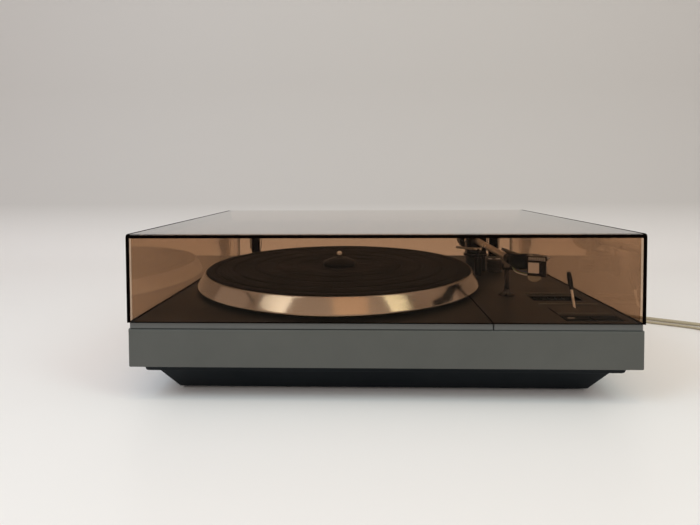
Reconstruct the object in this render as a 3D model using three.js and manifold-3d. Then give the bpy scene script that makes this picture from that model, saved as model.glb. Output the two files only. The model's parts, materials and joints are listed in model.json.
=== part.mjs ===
// A belt-driven record player with a tinted, hinged dust cover and two leads.
// Millimetres, +Z up, front towards -Y. Inside the group Y counts from the front face to the rear.

import * as THREE from 'three';
import { mergeVertices } from 'three/addons/utils/BufferGeometryUtils.js';
import Module from 'manifold-3d';

const wasm = await Module();
wasm.setup();

// Fits that every piece shares
const seat = 0.3;
const slack = 0.4;
const overrun = 4;

// Platter and what turns with it
const spindle = { radius: 3.6, height: 35, depth: 29.4, tip: 1.6 };
const platter = {
  radius: 160, lift: 3.5, edge: 1.6, shoulder: 8.2, shoulderDrop: 0.8, lip: 1.2, skirt: 5.5, inner: 14,
  rimHeight: 15, webHeight: 3.7, webDrop: 3, bevel: 2.6,
};
const shoulderRadius = platter.radius - platter.shoulder;
const lipRadius = shoulderRadius - platter.lip;
const innerRadius = platter.radius - platter.inner;
const mat = {
  height: 3.5, gap: 0.6, hole: 4.4, groove: 0.8, grooveWidth: 2.2, label: 50, labelDrop: 0.9, hub: 21,
  grooveShares: [0.48, 0.64, 0.8, 0.93],
};
const matRadius = lipRadius - mat.gap;
const adapter = { radius: 19.4, taper: 3, height: 5.5, bevel: 2.6 };
const subPlatter = { pulleyGap: 19, lift: 1.9, web: 3, webLift: 3, hub: 12, ring: 6 };
const bearing = { radius: 9, flange: 22, flangeHeight: 2.7, floor: 3, neck: 0.7 };

// Cabinet: margins round the platter, heights of what is stacked in it
const leftMargin = 9.3;
const rightMargin = 97.7;
const frontMargin = 7.6;
const rearMargin = 17.4;
const cabinetWidth = leftMargin + platter.radius * 2 + rightMargin;
const cabinetDepth = frontMargin + platter.radius * 2 + rearMargin;
const rightEdge = cabinetWidth / 2;
const axisX = leftMargin + platter.radius - rightEdge;
const axisY = frontMargin + platter.radius;
const footHeight = 2.2;
const panHeight = 28.8;
const frameHeight = 31.7;
const deckHeight = 5.1;
const coverHeight = 74.1;
const hingeReach = 11;

const panZ = footHeight + seat;
const frameZ = panZ + panHeight + seat;
const deckZ = frameZ + frameHeight + seat;
const deckTop = deckZ + deckHeight;
const coverZ = deckTop + seat;
const overallDepth = cabinetDepth + hingeReach;

// Base pan: insets from the cabinet's outline and rises above its own floor
const pan = {
  floorInset: 30, slopeInset: 16, slopeRise: 21.5, soffitInset: 9.5, soffitRise: 22.5,
  lipInset: 9, lipRise: 24.5, rimInset: 7, wall: 3, corner: 4, pillarInset: 36, pillarRadius: 5,
};
const foot = { radius: 12, inset: 58, chamfer: 0.8 };

// Plinth frame
const frame = { wall: 3.2, flange: 14, flangeHeight: 3, corner: 2.5, gusset: 50 };

// Deck plates
const deck = { inset: 1.5, skin: 3, skirt: 3.6, splitInset: 122.3, splitGap: 0.9 };
const splitX = rightEdge - deck.splitInset;

// Motor and belt
const motor = {
  angleDegrees: 225, wallGap: 26, radius: 18, height: 24, bracket: 32, bracketHeight: 1.6, shaft: 1.5,
  shaftDepth: 10, pulley: 6, crown: 0.5, flange: 7.4, flangeHeight: 1.2, boss: 6, bossHeight: 2,
  grommetRadius: 4, grommetWaistShare: 0.75, grommetReach: 26, grommets: 3, hole: 12,
};
const motorReach = innerRadius - motor.wallGap;
const subRadius = motorReach - motor.pulley - subPlatter.pulleyGap;
const belt = { thickness: 0.7, height: 6 };

// Parts on the pan's floor and below the control deck
const transformer = {
  width: 50, depth: 22, height: 40, coilDepth: 38, coilHeight: 26, inset: 73.5, rearInset: 70, tabWidth: 9,
  tabHeight: 2,
};
const board = {
  inset: 56.5, y: 62, width: 92, depth: 92, height: 1.6, drop: 10.7, post: 3, postInsetX: 6, postInsetY: 14,
  switchSize: 5, switchHeight: 3,
};

const boardX = rightEdge - board.inset;

// Keys in their troughs
const smallKeys = {
  width: 4.6, depth: 7, y: 88, sink: 0.4, firstInset: 55.5, pitch: 6.9, count: 5, travel: 1.4,
};
const wideKeys = { width: 21.5, depth: 12, y: 20, sink: 0.3, leftInset: 46.9, rightInset: 22.1, travel: 1.6 };
const keyStem = { size: 3, below: 1 };
const trough = {
  depth: 1.4, rearInset: 37.5, rearBehind: 1, rearWidth: 50, rearDepth: 22, frontInset: 34.5, frontWidth: 50,
  frontDepth: 20,
};

// Tonearm
const armInset = 82.5;
const armX = rightEdge - armInset;
const pivotLift = 38.8;
const pivotZ = deckTop + pivotLift;
const armBase = {
  radius: 13, height: 19.3, flange: 15.2, flangeHeight: 2.5, stem: 8.5, stemDepth: 9, socket: 8,
};
const yoke = { radius: 12, plate: 2.5, half: 9.2, cheek: 3.4, cheekDepth: 12, above: 6, pin: 3 };
const pivotBlock = { width: 17, depth: 16, height: 14, axle: 1.5, spigot: 3.1, spigotLength: 8, stub: 3.5 };
const stubLength = 47;
const tube = { rear: 4.4, front: 3.1, wall: 0.8, reach: 148 };
const collar = { radius: 4.7, length: 7, overlap: 5 };
const headAhead = 59;
const frontReach = tube.reach + headAhead;
const headMargin = 25;
const armY = headMargin + frontReach;
const counterweight = { radius: 17, length: 22.6, offset: 18, groove: 1, grooveWidth: 3, grooves: 2 };

// Headshell and cartridge, which are turned in towards the record
const head = {
  angleDegrees: 22, frontX: 3.4, width: 17.4, length: 27, plate: 4, rise: 9.2, corner: 3,
  liftWidth: 2.2, liftLength: 7, liftReach: 2.2, liftHeight: 1.6,
};
const neck = {
  width: 10, height: 15,
  sweepShares: [0, 0.06, 0.3, 0.62, 0.88, 1], alongShares: [0, 0.12, 0.36, 0.62, 0.84, 1],
  widthShares: [0.62, 0.78, 0.95, 1.05, 1.2, 1.3], heightShares: [0.52, 0.78, 1, 0.95, 0.62, 0.28],
  riseShares: [0, 0, 0.06, 0.28, 0.66, 1], spigot: 1.9, sides: 12, squareness: 0.55,
};
const hood = { reach: 32, tip: 2, width: 8.5, root: 6.5, lead: 13, lift: 5.3, height: 2.4 };
const cartridge = {
  width: 15.4, length: 22, height: 14, nose: 3, chin: 3.2, pin: 0.6, pinLength: 4, pinSpread: 5, pinRise: 5,
  pinStep: 4,
};
const stylus = { width: 7, length: 9, height: 2.6, lever: 0.35, leverLength: 5, drop: 1.6, back: 3.6 };
const guard = { width: 10.6, height: 4.4, thickness: 0.8, barrel: 0.7, shift: 2.2, ahead: 0.1, sides: 10 };

// Arm rest, lift, cue lever and anti-skating dial
const rest = {
  back: 13.8, footRadius: 8, footHeight: 1.4, waist: 2.4, flare: 5, postHeight: 25.9, width: 11.2, depth: 7,
  height: 13.3, slot: 4, slotFloor: 2.2, innerWall: 6.6, peg: 1.6, pegDepth: 8,
};
const restY = armY - tube.reach + rest.back;
const lift = {
  radius: 34, band: 3.2, height: 2.4, clearance: 0.5, fromDegrees: 267, toDegrees: 214, pinDegrees: 262,
  pin: 2, barrel: 4.4, barrelHeight: 22, barrelDepth: 8, stroke: 2.2, steps: 14,
};
const cue = {
  inset: 32.5, y: 53.4, pivotDrop: 7, lean: 23.5, stem: 1.2, stemLength: 24, paddle: 17, paddleWidth: 4.6,
  paddleThickness: 2, tipWidth: 3.2, fullShares: [0.35, 0.7], axle: 2.4, axleWidth: 9, slotWidth: 3.6,
  slotDepth: 10,
};
const cueX = rightEdge - cue.inset;
const dial = {
  right: 21, ahead: 12, radius: 9.2, skirt: 9.6, height: 16, cap: 6.4, capHeight: 1.2, ribs: 3, rib: 0.7,
  sides: 16,
};

// Dust cover
const cover = {
  wall: 3, rearHeight: 36, flatDepth: 297, edge: 2.4, pocketWall: 2, pocketLift: 11, pocketHeight: 26,
  roundShare: 0.3,
};
const hinge = {
  inset: 27.5, width: 12.5, axisOut: 7, axisLift: 5, knuckle: 4, leaf: 2.4, leafHeight: 28, ear: 3, pin: 1.5,
  blockDrop: 24, sides: 16,
};
const hingeX = rightEdge - hinge.inset;

// Leads: radii, exits through the frame's rear wall, and what is on them
const exitZ = 42;
const mainsLead = { radius: 2.1, exitX: 118, sides: 8, steps: 50 };
const signalLead = { radius: 1.6, exitX: 146, sides: 8, steps: 50 };
const relief = { length: 26, neckWall: 0.9, root: 4.6, flange: 7, flangeHeight: 2.4, ribs: 3, ribDepth: 0.6 };
const coilGap = 0.55;
const coilSteps = 24;
const coilSides = 6;
const climbTurns = 0.5;
const tie = { thickness: 0.9, width: 4, clearance: 0.5 };
const mainsCoil = {
  x: 462, y: 180, headingDegrees: -32, radius: 34, turnsIn: 2.5, turnsOut: 2.25, tail: 46,
  tieDegrees: 120,
};
const signalCoil = {
  x: 404, y: 120, headingDegrees: -88, radius: 24, turnsIn: 2, turnsOut: 1.75, tail: 40, tieDegrees: 60,
};
const mainsPlug = {
  length: 35, width: 26, thickness: 13.8, neckLength: 9, neck: 7, shoulderShare: 0.42, pin: 2, pinLength: 19,
  pinSpread: 9.3, pinSides: 12,
};
const signalPlug = {
  radius: 7.4, length: 24, shell: 6.6, shellLength: 11, shellWall: 0.7, boot: 12, bootEnd: 2.6,
};

// Routes of the leads, from the strain relief to where the coil starts
const mainsRoute = [
  [118, 371.6, 42], [118, 377, 42], [119, 388, 40], [124, 402, 32], [136, 416, 18], [154, 425, 7.5],
  [176, 428, 3], [200, 424, 2.3], [224, 412, 2.3], [247, 390, 2.3], [267, 358, 2.3], [288, 318, 2.3],
  [311, 284, 2.3], [336, 256, 2.3], [362, 240, 2.3], [388, 226.4, 2.3], [413, 213, 2.3], [434, 198.6, 2.6],
  [449, 188.1, 3.3], [457, 183.1, 3.7], [461.7, 180.2, 3.8],
];
const signalRoute = [
  [146, 371.6, 42], [146, 376, 42], [147.5, 386, 39], [153, 398, 29], [163, 406, 15], [178, 410, 5],
  [196, 408, 1.9], [216, 397, 1.8], [234, 374, 1.8], [252, 343, 1.8], [272, 306, 1.8], [297, 272, 1.8],
  [325, 245, 1.8], [353, 227, 1.8], [378, 214.5, 1.8], [397, 202, 1.9], [405.5, 187, 2.1], [407, 168, 2.4],
  [405, 148, 2.8], [403.7, 133, 3.2], [403.99, 120.3, 3.3],
];

// Solid helpers
const turn = Math.PI * 2;
const radians = (degrees) => THREE.MathUtils.degToRad(degrees);

function facingOut(geometry) {
  const flat = geometry.index ? geometry : mergeVertices(geometry);
  const place = flat.attributes.position;
  const index = flat.index.array;
  const corners = [0, 1, 2].map(() => new THREE.Vector3());
  let volume = 0;
  for (let face = 0; face < index.length; face += 3) {
    corners.forEach((corner, k) => corner.fromBufferAttribute(place, index[face + k]));
    volume += corners[0].dot(corners[1].clone().cross(corners[2]));
  }
  if (volume < 0) {
    for (let face = 0; face < index.length; face += 3) {
      [index[face], index[face + 1]] = [index[face + 1], index[face]];
    }
  }
  return flat;
}

function bareGeometry(source) {
  const geometry = source.clone();
  geometry.deleteAttribute('normal');
  geometry.deleteAttribute('uv');
  const merged = mergeVertices(geometry);
  const kept = [];
  const index = merged.index.array;
  for (let face = 0; face < index.length; face += 3) {
    const [a, b, c] = [index[face], index[face + 1], index[face + 2]];
    if (a !== b && b !== c && c !== a) kept.push(a, b, c);
  }
  merged.setIndex(kept);
  return facingOut(merged);
}

function solidOf(source) {
  const geometry = bareGeometry(source);
  return new wasm.Manifold(new wasm.Mesh({
    numProp: 3,
    vertProperties: Float32Array.from(geometry.attributes.position.array),
    triVerts: Uint32Array.from(geometry.index.array),
  }));
}

function geometryOf(solid) {
  const mesh = solid.getMesh();
  const geometry = new THREE.BufferGeometry();
  geometry.setAttribute('position', new THREE.BufferAttribute(mesh.vertProperties, 3));
  geometry.setIndex(new THREE.BufferAttribute(mesh.triVerts, 1));
  return geometry;
}

const joined = (...pieces) => geometryOf(pieces.map(solidOf).reduce((all, piece) => all.add(piece)));
const cut = (body, ...tools) => geometryOf(
  tools.map(solidOf).reduce((rest, tool) => rest.subtract(tool), solidOf(body)),
);
const at = (geometry, x, y, z) => geometry.translate(x, y, z);
const box = (width, depth, height) => new THREE.BoxGeometry(width, depth, height).translate(0, 0, height / 2);
const drum = (radius, height, sides = 24) => new THREE.CylinderGeometry(radius, radius, height, sides)
  .rotateX(turn / 4).translate(0, 0, height / 2);

// A closed profile of radius and height pairs, turned round the Z axis
function revolved(profile, sides) {
  const points = profile.map(([radius, height]) => new THREE.Vector2(radius, height));
  const open = profile[0][0] !== 0 || profile[profile.length - 1][0] !== 0;
  if (open) points.push(points[0].clone());
  return bareGeometry(new THREE.LatheGeometry(points, sides).rotateX(turn / 4));
}

// An outline of X and Y pairs raised along Z
function raised(outline, height, holes = []) {
  const shape = new THREE.Shape(outline.map(([x, y]) => new THREE.Vector2(x, y)));
  holes.forEach((hole) => shape.holes.push(new THREE.Path(hole.map(([x, y]) => new THREE.Vector2(x, y)))));
  return new THREE.ExtrudeGeometry(shape, { depth: height, bevelEnabled: false, steps: 1 });
}

// An outline of Y and Z pairs stretched along X, centred on X = 0
function stretched(outline, width, holes = []) {
  return raised(outline, width, holes).rotateX(turn / 4).rotateZ(turn / 4).translate(-width / 2, 0, 0);
}

// A skin over rings of equal point counts, closed by fans at its ends or back onto its first ring
function skinned(rings, ring = false) {
  const count = rings[0].length;
  const positions = rings.flat().flatMap((point) => point.toArray());
  const faces = [];
  const last = ring ? rings.length : rings.length - 1;
  for (let row = 0; row < last; row += 1) {
    const here = row * count;
    const next = ((row + 1) % rings.length) * count;
    for (let k = 0; k < count; k += 1) {
      const after = (k + 1) % count;
      faces.push(here + k, here + after, next + after, here + k, next + after, next + k);
    }
  }
  if (!ring) {
    const top = (rings.length - 1) * count;
    for (let k = 1; k < count - 1; k += 1) {
      faces.push(0, k + 1, k, top, top + k, top + k + 1);
    }
  }
  const geometry = new THREE.BufferGeometry();
  geometry.setAttribute('position', new THREE.Float32BufferAttribute(positions, 3));
  geometry.setIndex(faces);
  return facingOut(geometry);
}

// The cabinet's outline, set in and rounded, as a ring of points at one height
function outlineRing(inset, height, corner) {
  const x = cabinetWidth / 2 - inset;
  const y = cabinetDepth / 2 - inset;
  const steps = 3;
  const points = [];
  [[1, 1], [-1, 1], [-1, -1], [1, -1]].forEach(([sx, sy], quarter) => {
    for (let k = 0; k <= steps; k += 1) {
      const angle = (quarter + k / steps) * (turn / 4);
      points.push(new THREE.Vector3(
        sx * (x - corner) + corner * Math.cos(angle),
        cabinetDepth / 2 + sy * (y - corner) + corner * Math.sin(angle),
        height,
      ));
    }
  });
  return points;
}

function cornerPlaces(insetX, insetY) {
  const x = cabinetWidth / 2 - insetX;
  return [
    ['front_left', -x, insetY], ['front_right', x, insetY],
    ['rear_left', -x, cabinetDepth - insetY], ['rear_right', x, cabinetDepth - insetY],
  ];
}

// Cabinet pieces
function basePan() {
  const inner = pan.wall;
  const rings = [
    outlineRing(pan.floorInset, 0, pan.corner),
    outlineRing(pan.slopeInset, pan.slopeRise, pan.corner),
    outlineRing(pan.soffitInset, pan.soffitRise, pan.corner),
    outlineRing(pan.lipInset, pan.lipRise, pan.corner),
    outlineRing(pan.rimInset, panHeight, pan.corner),
    outlineRing(pan.rimInset + inner, panHeight, pan.corner),
    outlineRing(pan.lipInset + inner, pan.lipRise + inner / 2, pan.corner),
    outlineRing(pan.slopeInset + inner, pan.slopeRise + inner, pan.corner),
    outlineRing(pan.floorInset + inner, inner, pan.corner),
  ];
  const pillars = cornerPlaces(pan.pillarInset, pan.pillarInset).map(([, x, y]) => (
    at(drum(pan.pillarRadius, panHeight - inner / 2, 16), x, y, inner / 2)
  ));
  return joined(skinned(rings), ...pillars);
}

function footPad() {
  const edge = foot.radius - foot.chamfer;
  return revolved([
    [0, 0], [edge, 0], [foot.radius, foot.chamfer], [foot.radius, footHeight], [0, footHeight],
  ], 20);
}

function plinthFrame() {
  const rings = [
    outlineRing(0, 0, frame.corner),
    outlineRing(0, frameHeight, frame.corner),
    outlineRing(frame.wall, frameHeight, frame.corner),
    outlineRing(frame.wall, frame.flangeHeight, frame.corner),
    outlineRing(frame.flange, frame.flangeHeight, frame.corner),
    outlineRing(frame.flange, 0, frame.corner),
  ];
  const x = cabinetWidth / 2 - frame.wall / 2;
  const gussets = [[-1, -1], [1, -1], [-1, 1], [1, 1]].map(([sx, sy]) => {
    const y = cabinetDepth / 2 + sy * (cabinetDepth / 2 - frame.wall / 2);
    const plate = [[sx * x, y], [sx * (x - frame.gusset), y], [sx * x, y - sy * frame.gusset]];
    return raised(sx * sy > 0 ? plate : plate.reverse(), frame.flangeHeight);
  });
  const holes = [mainsLead, signalLead].map((lead) => (
    at(drum(relief.root + slack, frame.wall + overrun, 24).rotateX(-turn / 4), lead.exitX,
      cabinetDepth - frame.wall - overrun / 2, exitZ - frameZ)
  ));
  return cut(joined(skinned(rings, true), ...gussets), ...holes);
}

// A plate with a skirt below its edge, from the left, right, front and rear edges
function skirtedPlate(left, right) {
  const width = right - left;
  const depth = cabinetDepth - deck.inset * 2;
  const x = (left + right) / 2;
  const y = cabinetDepth / 2;
  const hollow = at(
    box(width - deck.skirt * 2, depth - deck.skirt * 2, deckHeight - deck.skin + overrun), x, y, -overrun,
  );
  return cut(at(box(width, depth, deckHeight), x, y, 0), hollow);
}

function motorPlace() {
  const angle = radians(motor.angleDegrees);
  return [axisX + motorReach * Math.cos(angle), axisY + motorReach * Math.sin(angle)];
}

function deckMain() {
  const left = -cabinetWidth / 2 + deck.inset;
  const plate = skirtedPlate(left, splitX - deck.splitGap / 2);
  const [x, y] = motorPlace();
  return cut(
    plate,
    at(drum(bearing.radius + slack, deckHeight + overrun, 32), axisX, axisY, -overrun / 2),
    at(drum(motor.hole, deckHeight + overrun, 32), x, y, -overrun / 2),
  );
}

const smallKeyNames = ['key_33', 'key_45', 'key_slower', 'key_faster', 'key_cue'];

// Name, sizes and X place of every key
function keyPlaces() {
  const small = smallKeyNames.slice(0, smallKeys.count);
  return [
    ...small.map((name, k) => [name, smallKeys, rightEdge - smallKeys.firstInset + k * smallKeys.pitch]),
    ['key_start', wideKeys, rightEdge - wideKeys.leftInset],
    ['key_stop', wideKeys, rightEdge - wideKeys.rightInset],
  ];
}

function deckControl() {
  const right = cabinetWidth / 2 - deck.inset;
  const plate = skirtedPlate(splitX + deck.splitGap / 2, right);
  const through = deckHeight + overrun;
  const troughZ = deckHeight - trough.depth;
  const keyHoles = keyPlaces().map(([, keys, x]) => (
    at(box(keys.width + slack * 2, keys.depth + slack * 2, through), x, keys.y, -overrun / 2)
  ));
  const posts = [[-1, -1], [1, -1], [-1, 1], [1, 1]].map(([sx, sy]) => at(
    drum(board.post, board.drop - seat - deck.skin / 2, 12),
    boardX + sx * (board.width / 2 - board.postInsetX),
    board.y + sy * (board.depth / 2 - board.postInsetY),
    deckHeight - board.drop + seat,
  ));
  return cut(
    joined(plate, ...posts),
    at(box(trough.rearWidth, trough.rearDepth, trough.depth + overrun), rightEdge - trough.rearInset,
      smallKeys.y - trough.rearBehind, troughZ),
    at(box(trough.frontWidth, trough.frontDepth, trough.depth + overrun), rightEdge - trough.frontInset,
      wideKeys.y, troughZ),
    ...keyHoles,
    at(drum(armBase.stem + slack, through, 32), armX, armY, -overrun / 2),
    at(drum(rest.peg + slack, through, 16), armX, restY, -overrun / 2),
    at(drum(lift.barrel + slack, through, 24), ...liftPlace(), -overrun / 2),
    at(box(cue.slotWidth, cue.slotDepth, through), cueX, cue.y, -overrun / 2),
  );
}

// Platter, sub-platter, spindle and bearing
const webTop = platter.rimHeight - platter.webDrop;

function platterBody() {
  const bore = spindle.radius + slack;
  const webUnder = webTop - platter.webHeight;
  return revolved([
    [bore, webUnder], [innerRadius, webUnder], [innerRadius + platter.bevel, webUnder - platter.bevel],
    [platter.radius - platter.skirt, 0], [platter.radius, 0], [platter.radius, platter.edge],
    [shoulderRadius + platter.shoulderDrop, platter.rimHeight - platter.shoulderDrop],
    [shoulderRadius, platter.rimHeight], [lipRadius, platter.rimHeight],
    [lipRadius, webTop], [bore, webTop],
  ], 60);
}

function platterMat() {
  const top = mat.height;
  const profile = [[mat.hole, 0], [matRadius, 0], [matRadius, top]];
  [...mat.grooveShares].reverse().forEach((share) => {
    const middle = share * matRadius;
    const half = mat.grooveWidth / 2;
    profile.push([middle + half, top], [middle, top - mat.groove], [middle - half, top]);
  });
  profile.push([mat.label, top], [mat.label - mat.grooveWidth, top - mat.labelDrop]);
  profile.push([mat.hub, top - mat.labelDrop], [mat.hub, top - mat.labelDrop * 2]);
  profile.push([mat.hole, top - mat.labelDrop * 2]);
  return revolved(profile, 42);
}

function singleAdapter() {
  const bore = spindle.radius + slack;
  const step = adapter.height - adapter.bevel;
  return revolved([
    [bore, 0], [adapter.radius, 0], [adapter.radius, step], [adapter.radius - adapter.taper, adapter.height],
    [bore + adapter.bevel, adapter.height], [bore, adapter.height - adapter.bevel / 2],
  ], 24);
}

const subHeight = platter.lift + webTop - platter.webHeight - subPlatter.lift - seat;

function subPlatterBody() {
  const bore = spindle.radius + seat;
  const hub = subPlatter.hub;
  const inner = subRadius - subPlatter.ring;
  const webFloor = subPlatter.webLift;
  const webRoof = webFloor + subPlatter.web;
  return revolved([
    [bore, 0], [hub, 0], [hub, webFloor], [inner, webFloor], [inner, 0], [subRadius, 0],
    [subRadius, subHeight], [inner - subPlatter.web, subHeight], [inner - subPlatter.web, webRoof],
    [hub + subPlatter.web, webRoof], [hub + subPlatter.web, subHeight], [bore, subHeight],
  ], 36);
}

function spindleShaft() {
  const top = spindle.height - spindle.tip;
  return revolved([
    [0, -spindle.depth], [spindle.radius, -spindle.depth], [spindle.radius, top],
    [spindle.radius - spindle.tip, spindle.height], [0, spindle.height],
  ], 24);
}

function bearingHousing() {
  const flangeTop = -deck.skin - seat;
  const flangeUnder = flangeTop - bearing.flangeHeight;
  const floor = -spindle.depth - seat;
  const bore = spindle.radius + slack;
  return revolved([
    [0, floor - bearing.floor], [bearing.radius, floor - bearing.floor], [bearing.radius, flangeUnder],
    [bearing.flange, flangeUnder], [bearing.flange, flangeTop], [bearing.radius, flangeTop],
    [bearing.radius, bearing.neck], [bore, bearing.neck], [bore, floor], [0, floor],
  ], 24);
}

// The outline of a band stretched round two circles
function beltOutline(bigRadius, smallRadius) {
  const [x, y] = motorPlace();
  const way = Math.atan2(y - axisY, x - axisX);
  const tangent = Math.acos((bigRadius - smallRadius) / motorReach);
  const arcs = [[axisX, axisY, bigRadius, way + tangent, way + turn - tangent, 40]];
  arcs.push([x, y, smallRadius, way - tangent, way + tangent, 10]);
  return arcs.flatMap(([cx, cy, radius, from, to, steps]) => Array.from({ length: steps + 1 }, (_, k) => {
    const angle = from + ((to - from) * k) / steps;
    return [cx + radius * Math.cos(angle), cy + radius * Math.sin(angle)];
  }));
}

function driveBelt() {
  const inner = beltOutline(subRadius + seat, motor.pulley + seat);
  const outer = beltOutline(subRadius + seat + belt.thickness, motor.pulley + seat + belt.thickness);
  return raised(outer, belt.height, [inner]);
}

const pulleyHeight = subHeight - subPlatter.lift / 2;

function motorPulley() {
  const waist = motor.pulley - motor.crown / 2;
  const foot = motor.flangeHeight;
  const above = subPlatter.lift + deck.skin + motor.grommetRadius + motor.bracketHeight;
  const bottom = -above - motor.shaftDepth;
  return revolved([
    [0, bottom], [motor.shaft, bottom], [motor.shaft, 0], [motor.flange, 0], [motor.flange, foot],
    [waist, foot], [motor.pulley, pulleyHeight / 2], [waist, pulleyHeight - foot],
    [waist + motor.crown, pulleyHeight], [0, pulleyHeight],
  ], 20);
}

const bracketTop = -deck.skin - seat - motor.grommetRadius;

// The bracket carries the rubber mounts that hang it from the deck
function motorBracket() {
  const plate = drum(motor.bracket, motor.bracketHeight, 30);
  const mounts = Array.from({ length: motor.grommets }, (_, k) => {
    const angle = (turn * k) / motor.grommets;
    return at(motorGrommet(), motor.grommetReach * Math.cos(angle), motor.grommetReach * Math.sin(angle),
      motor.bracketHeight / 2);
  });
  const hole = at(drum(motor.boss + slack, motor.bracketHeight + overrun, 24), 0, 0, -overrun / 2);
  return cut(joined(plate, ...mounts), hole);
}

function motorCan() {
  const bore = motor.shaft + slack;
  const top = motor.height;
  const depth = motor.shaftDepth + motor.bossHeight;
  return revolved([
    [0, 0], [motor.radius, 0], [motor.radius, top], [motor.boss, top], [motor.boss, top + motor.bossHeight],
    [bore, top + motor.bossHeight], [bore, top - depth], [0, top - depth],
  ], 24);
}

function motorGrommet() {
  const waist = motor.grommetRadius * motor.grommetWaistShare;
  const height = motor.grommetRadius + motor.bracketHeight / 2;
  return revolved([
    [0, 0], [motor.grommetRadius, 0], [waist, height / 2], [motor.grommetRadius, height], [0, height],
  ], 8);
}

// Transformer and control board
function transformerBody() {
  const core = box(transformer.width, transformer.depth, transformer.height);
  const winding = at(
    box(transformer.width / 2, transformer.coilDepth, transformer.coilHeight), 0, 0,
    (transformer.height - transformer.coilHeight) / 2,
  );
  const tabs = box(transformer.width + transformer.tabWidth * 2, transformer.depth, transformer.tabHeight);
  return joined(core, winding, tabs);
}

function controlBoard() {
  const blocks = keyPlaces().map(([, keys, x]) => at(
    box(board.switchSize, board.switchSize, board.switchHeight + board.height / 2),
    x - boardX, keys.y - board.y, board.height / 2,
  ));
  const slot = at(
    box(cue.slotWidth + cue.axleWidth * 2, cue.slotDepth * 2, board.height + overrun),
    cueX - boardX, cue.y - board.y, -overrun / 2,
  );
  return cut(joined(box(board.width, board.depth, board.height), ...blocks), slot);
}

// Keys: a cap through the trough's floor and a stem that reaches down to its switch
function keyBody(keys) {
  const capFloor = -deck.skin - keyStem.below;
  const stemFloor = -board.drop + board.switchHeight + keys.travel + seat;
  const cap = at(box(keys.width, keys.depth, -keys.sink - capFloor), 0, 0, capFloor);
  const stem = at(box(keyStem.size, keyStem.size, capFloor - stemFloor + keyStem.below), 0, 0, stemFloor);
  return joined(cap, stem);
}

// Tonearm, drawn round its pivot: +Y is the rear
function armBaseBody() {
  const bore = yoke.pin + slack;
  return revolved([
    [0, -armBase.stemDepth], [armBase.stem, -armBase.stemDepth], [armBase.stem, seat], [armBase.radius, seat],
    [armBase.radius, armBase.height], [armBase.flange, armBase.height],
    [armBase.flange, armBase.height + armBase.flangeHeight], [bore, armBase.height + armBase.flangeHeight],
    [bore, armBase.height - armBase.socket], [0, armBase.height - armBase.socket],
  ], 24);
}

function gimbalYoke() {
  const plateZ = armBase.height + armBase.flangeHeight + seat - pivotLift;
  const plate = at(drum(yoke.radius, yoke.plate, 32), 0, 0, plateZ);
  const pin = at(drum(yoke.pin, armBase.socket - seat + yoke.plate, 20), 0, 0,
    plateZ - armBase.socket + seat + seat);
  const cheeks = [-1, 1].map((side) => at(
    box(yoke.cheek, yoke.cheekDepth, yoke.above - plateZ), side * (yoke.half + yoke.cheek / 2), 0, plateZ,
  ));
  const axle = stretched(circle(0, 0, pivotBlock.axle + seat, 16), (yoke.half + yoke.cheek + overrun) * 2);
  return cut(joined(plate, pin, ...cheeks), axle);
}

function circle(x, y, radius, sides) {
  return Array.from({ length: sides }, (_, k) => [
    x + radius * Math.cos((turn * k) / sides), y + radius * Math.sin((turn * k) / sides),
  ]);
}

// A closed profile of radius and distance pairs, turned round the Y axis, distance towards the front
const alongArm = (profile, sides) => revolved(profile, sides).rotateX(turn / 4);

function pivotBlockBody() {
  const block = at(box(pivotBlock.width, pivotBlock.depth, pivotBlock.height), 0, 0, -pivotBlock.height / 2);
  const axle = stretched(circle(0, 0, pivotBlock.axle, 16), (yoke.half + yoke.cheek) * 2);
  const front = pivotBlock.depth / 2;
  const spigot = alongArm([
    [0, 0], [pivotBlock.spigot, 0], [pivotBlock.spigot, front + pivotBlock.spigotLength],
    [0, front + pivotBlock.spigotLength],
  ], 24);
  const stub = alongArm([[0, -front - stubLength], [pivotBlock.stub, -front - stubLength],
    [pivotBlock.stub, 0], [0, 0]], 24);
  return joined(block, axle, spigot, stub);
}

// The tapered tube with the clamping collar at its front end
function armTube() {
  const from = pivotBlock.depth / 2 + seat;
  const bore = tube.front - tube.wall;
  const ringFrom = tube.reach - collar.overlap;
  const ringTo = ringFrom + collar.length;
  const edge = collar.radius - tube.wall;
  const taper = alongArm([
    [tube.rear, from], [tube.front, tube.reach], [bore, tube.reach], [tube.rear - tube.wall, from],
  ], 20);
  const ring = alongArm([
    [bore, ringFrom], [edge, ringFrom], [collar.radius, ringFrom + tube.wall],
    [collar.radius, ringTo - tube.wall], [edge, ringTo], [bore, ringTo],
  ], 20);
  return joined(taper, ring);
}

function counterweightBody() {
  const bore = pivotBlock.stub + seat;
  const from = -counterweight.offset;
  const pitch = counterweight.length / (counterweight.grooves + 1);
  const profile = [[bore, from], [counterweight.radius - counterweight.groove, from]];
  for (let k = 1; k <= counterweight.grooves; k += 1) {
    const middle = from - k * pitch;
    const half = counterweight.grooveWidth / 2;
    profile.push([counterweight.radius, middle + pitch - half], [counterweight.radius, middle + half]);
    profile.push([counterweight.radius - counterweight.groove, middle + half / 2]);
    profile.push([counterweight.radius - counterweight.groove, middle - half / 2]);
  }
  profile.push([counterweight.radius, from - counterweight.length + counterweight.groove]);
  profile.push([counterweight.radius - counterweight.groove, from - counterweight.length]);
  profile.push([bore, from - counterweight.length]);
  return alongArm(profile, 24);
}

// Headshell: a swept neck that rises to a flat plate, with the finger lift on its outer side
const headPlateZ = head.rise;

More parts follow.
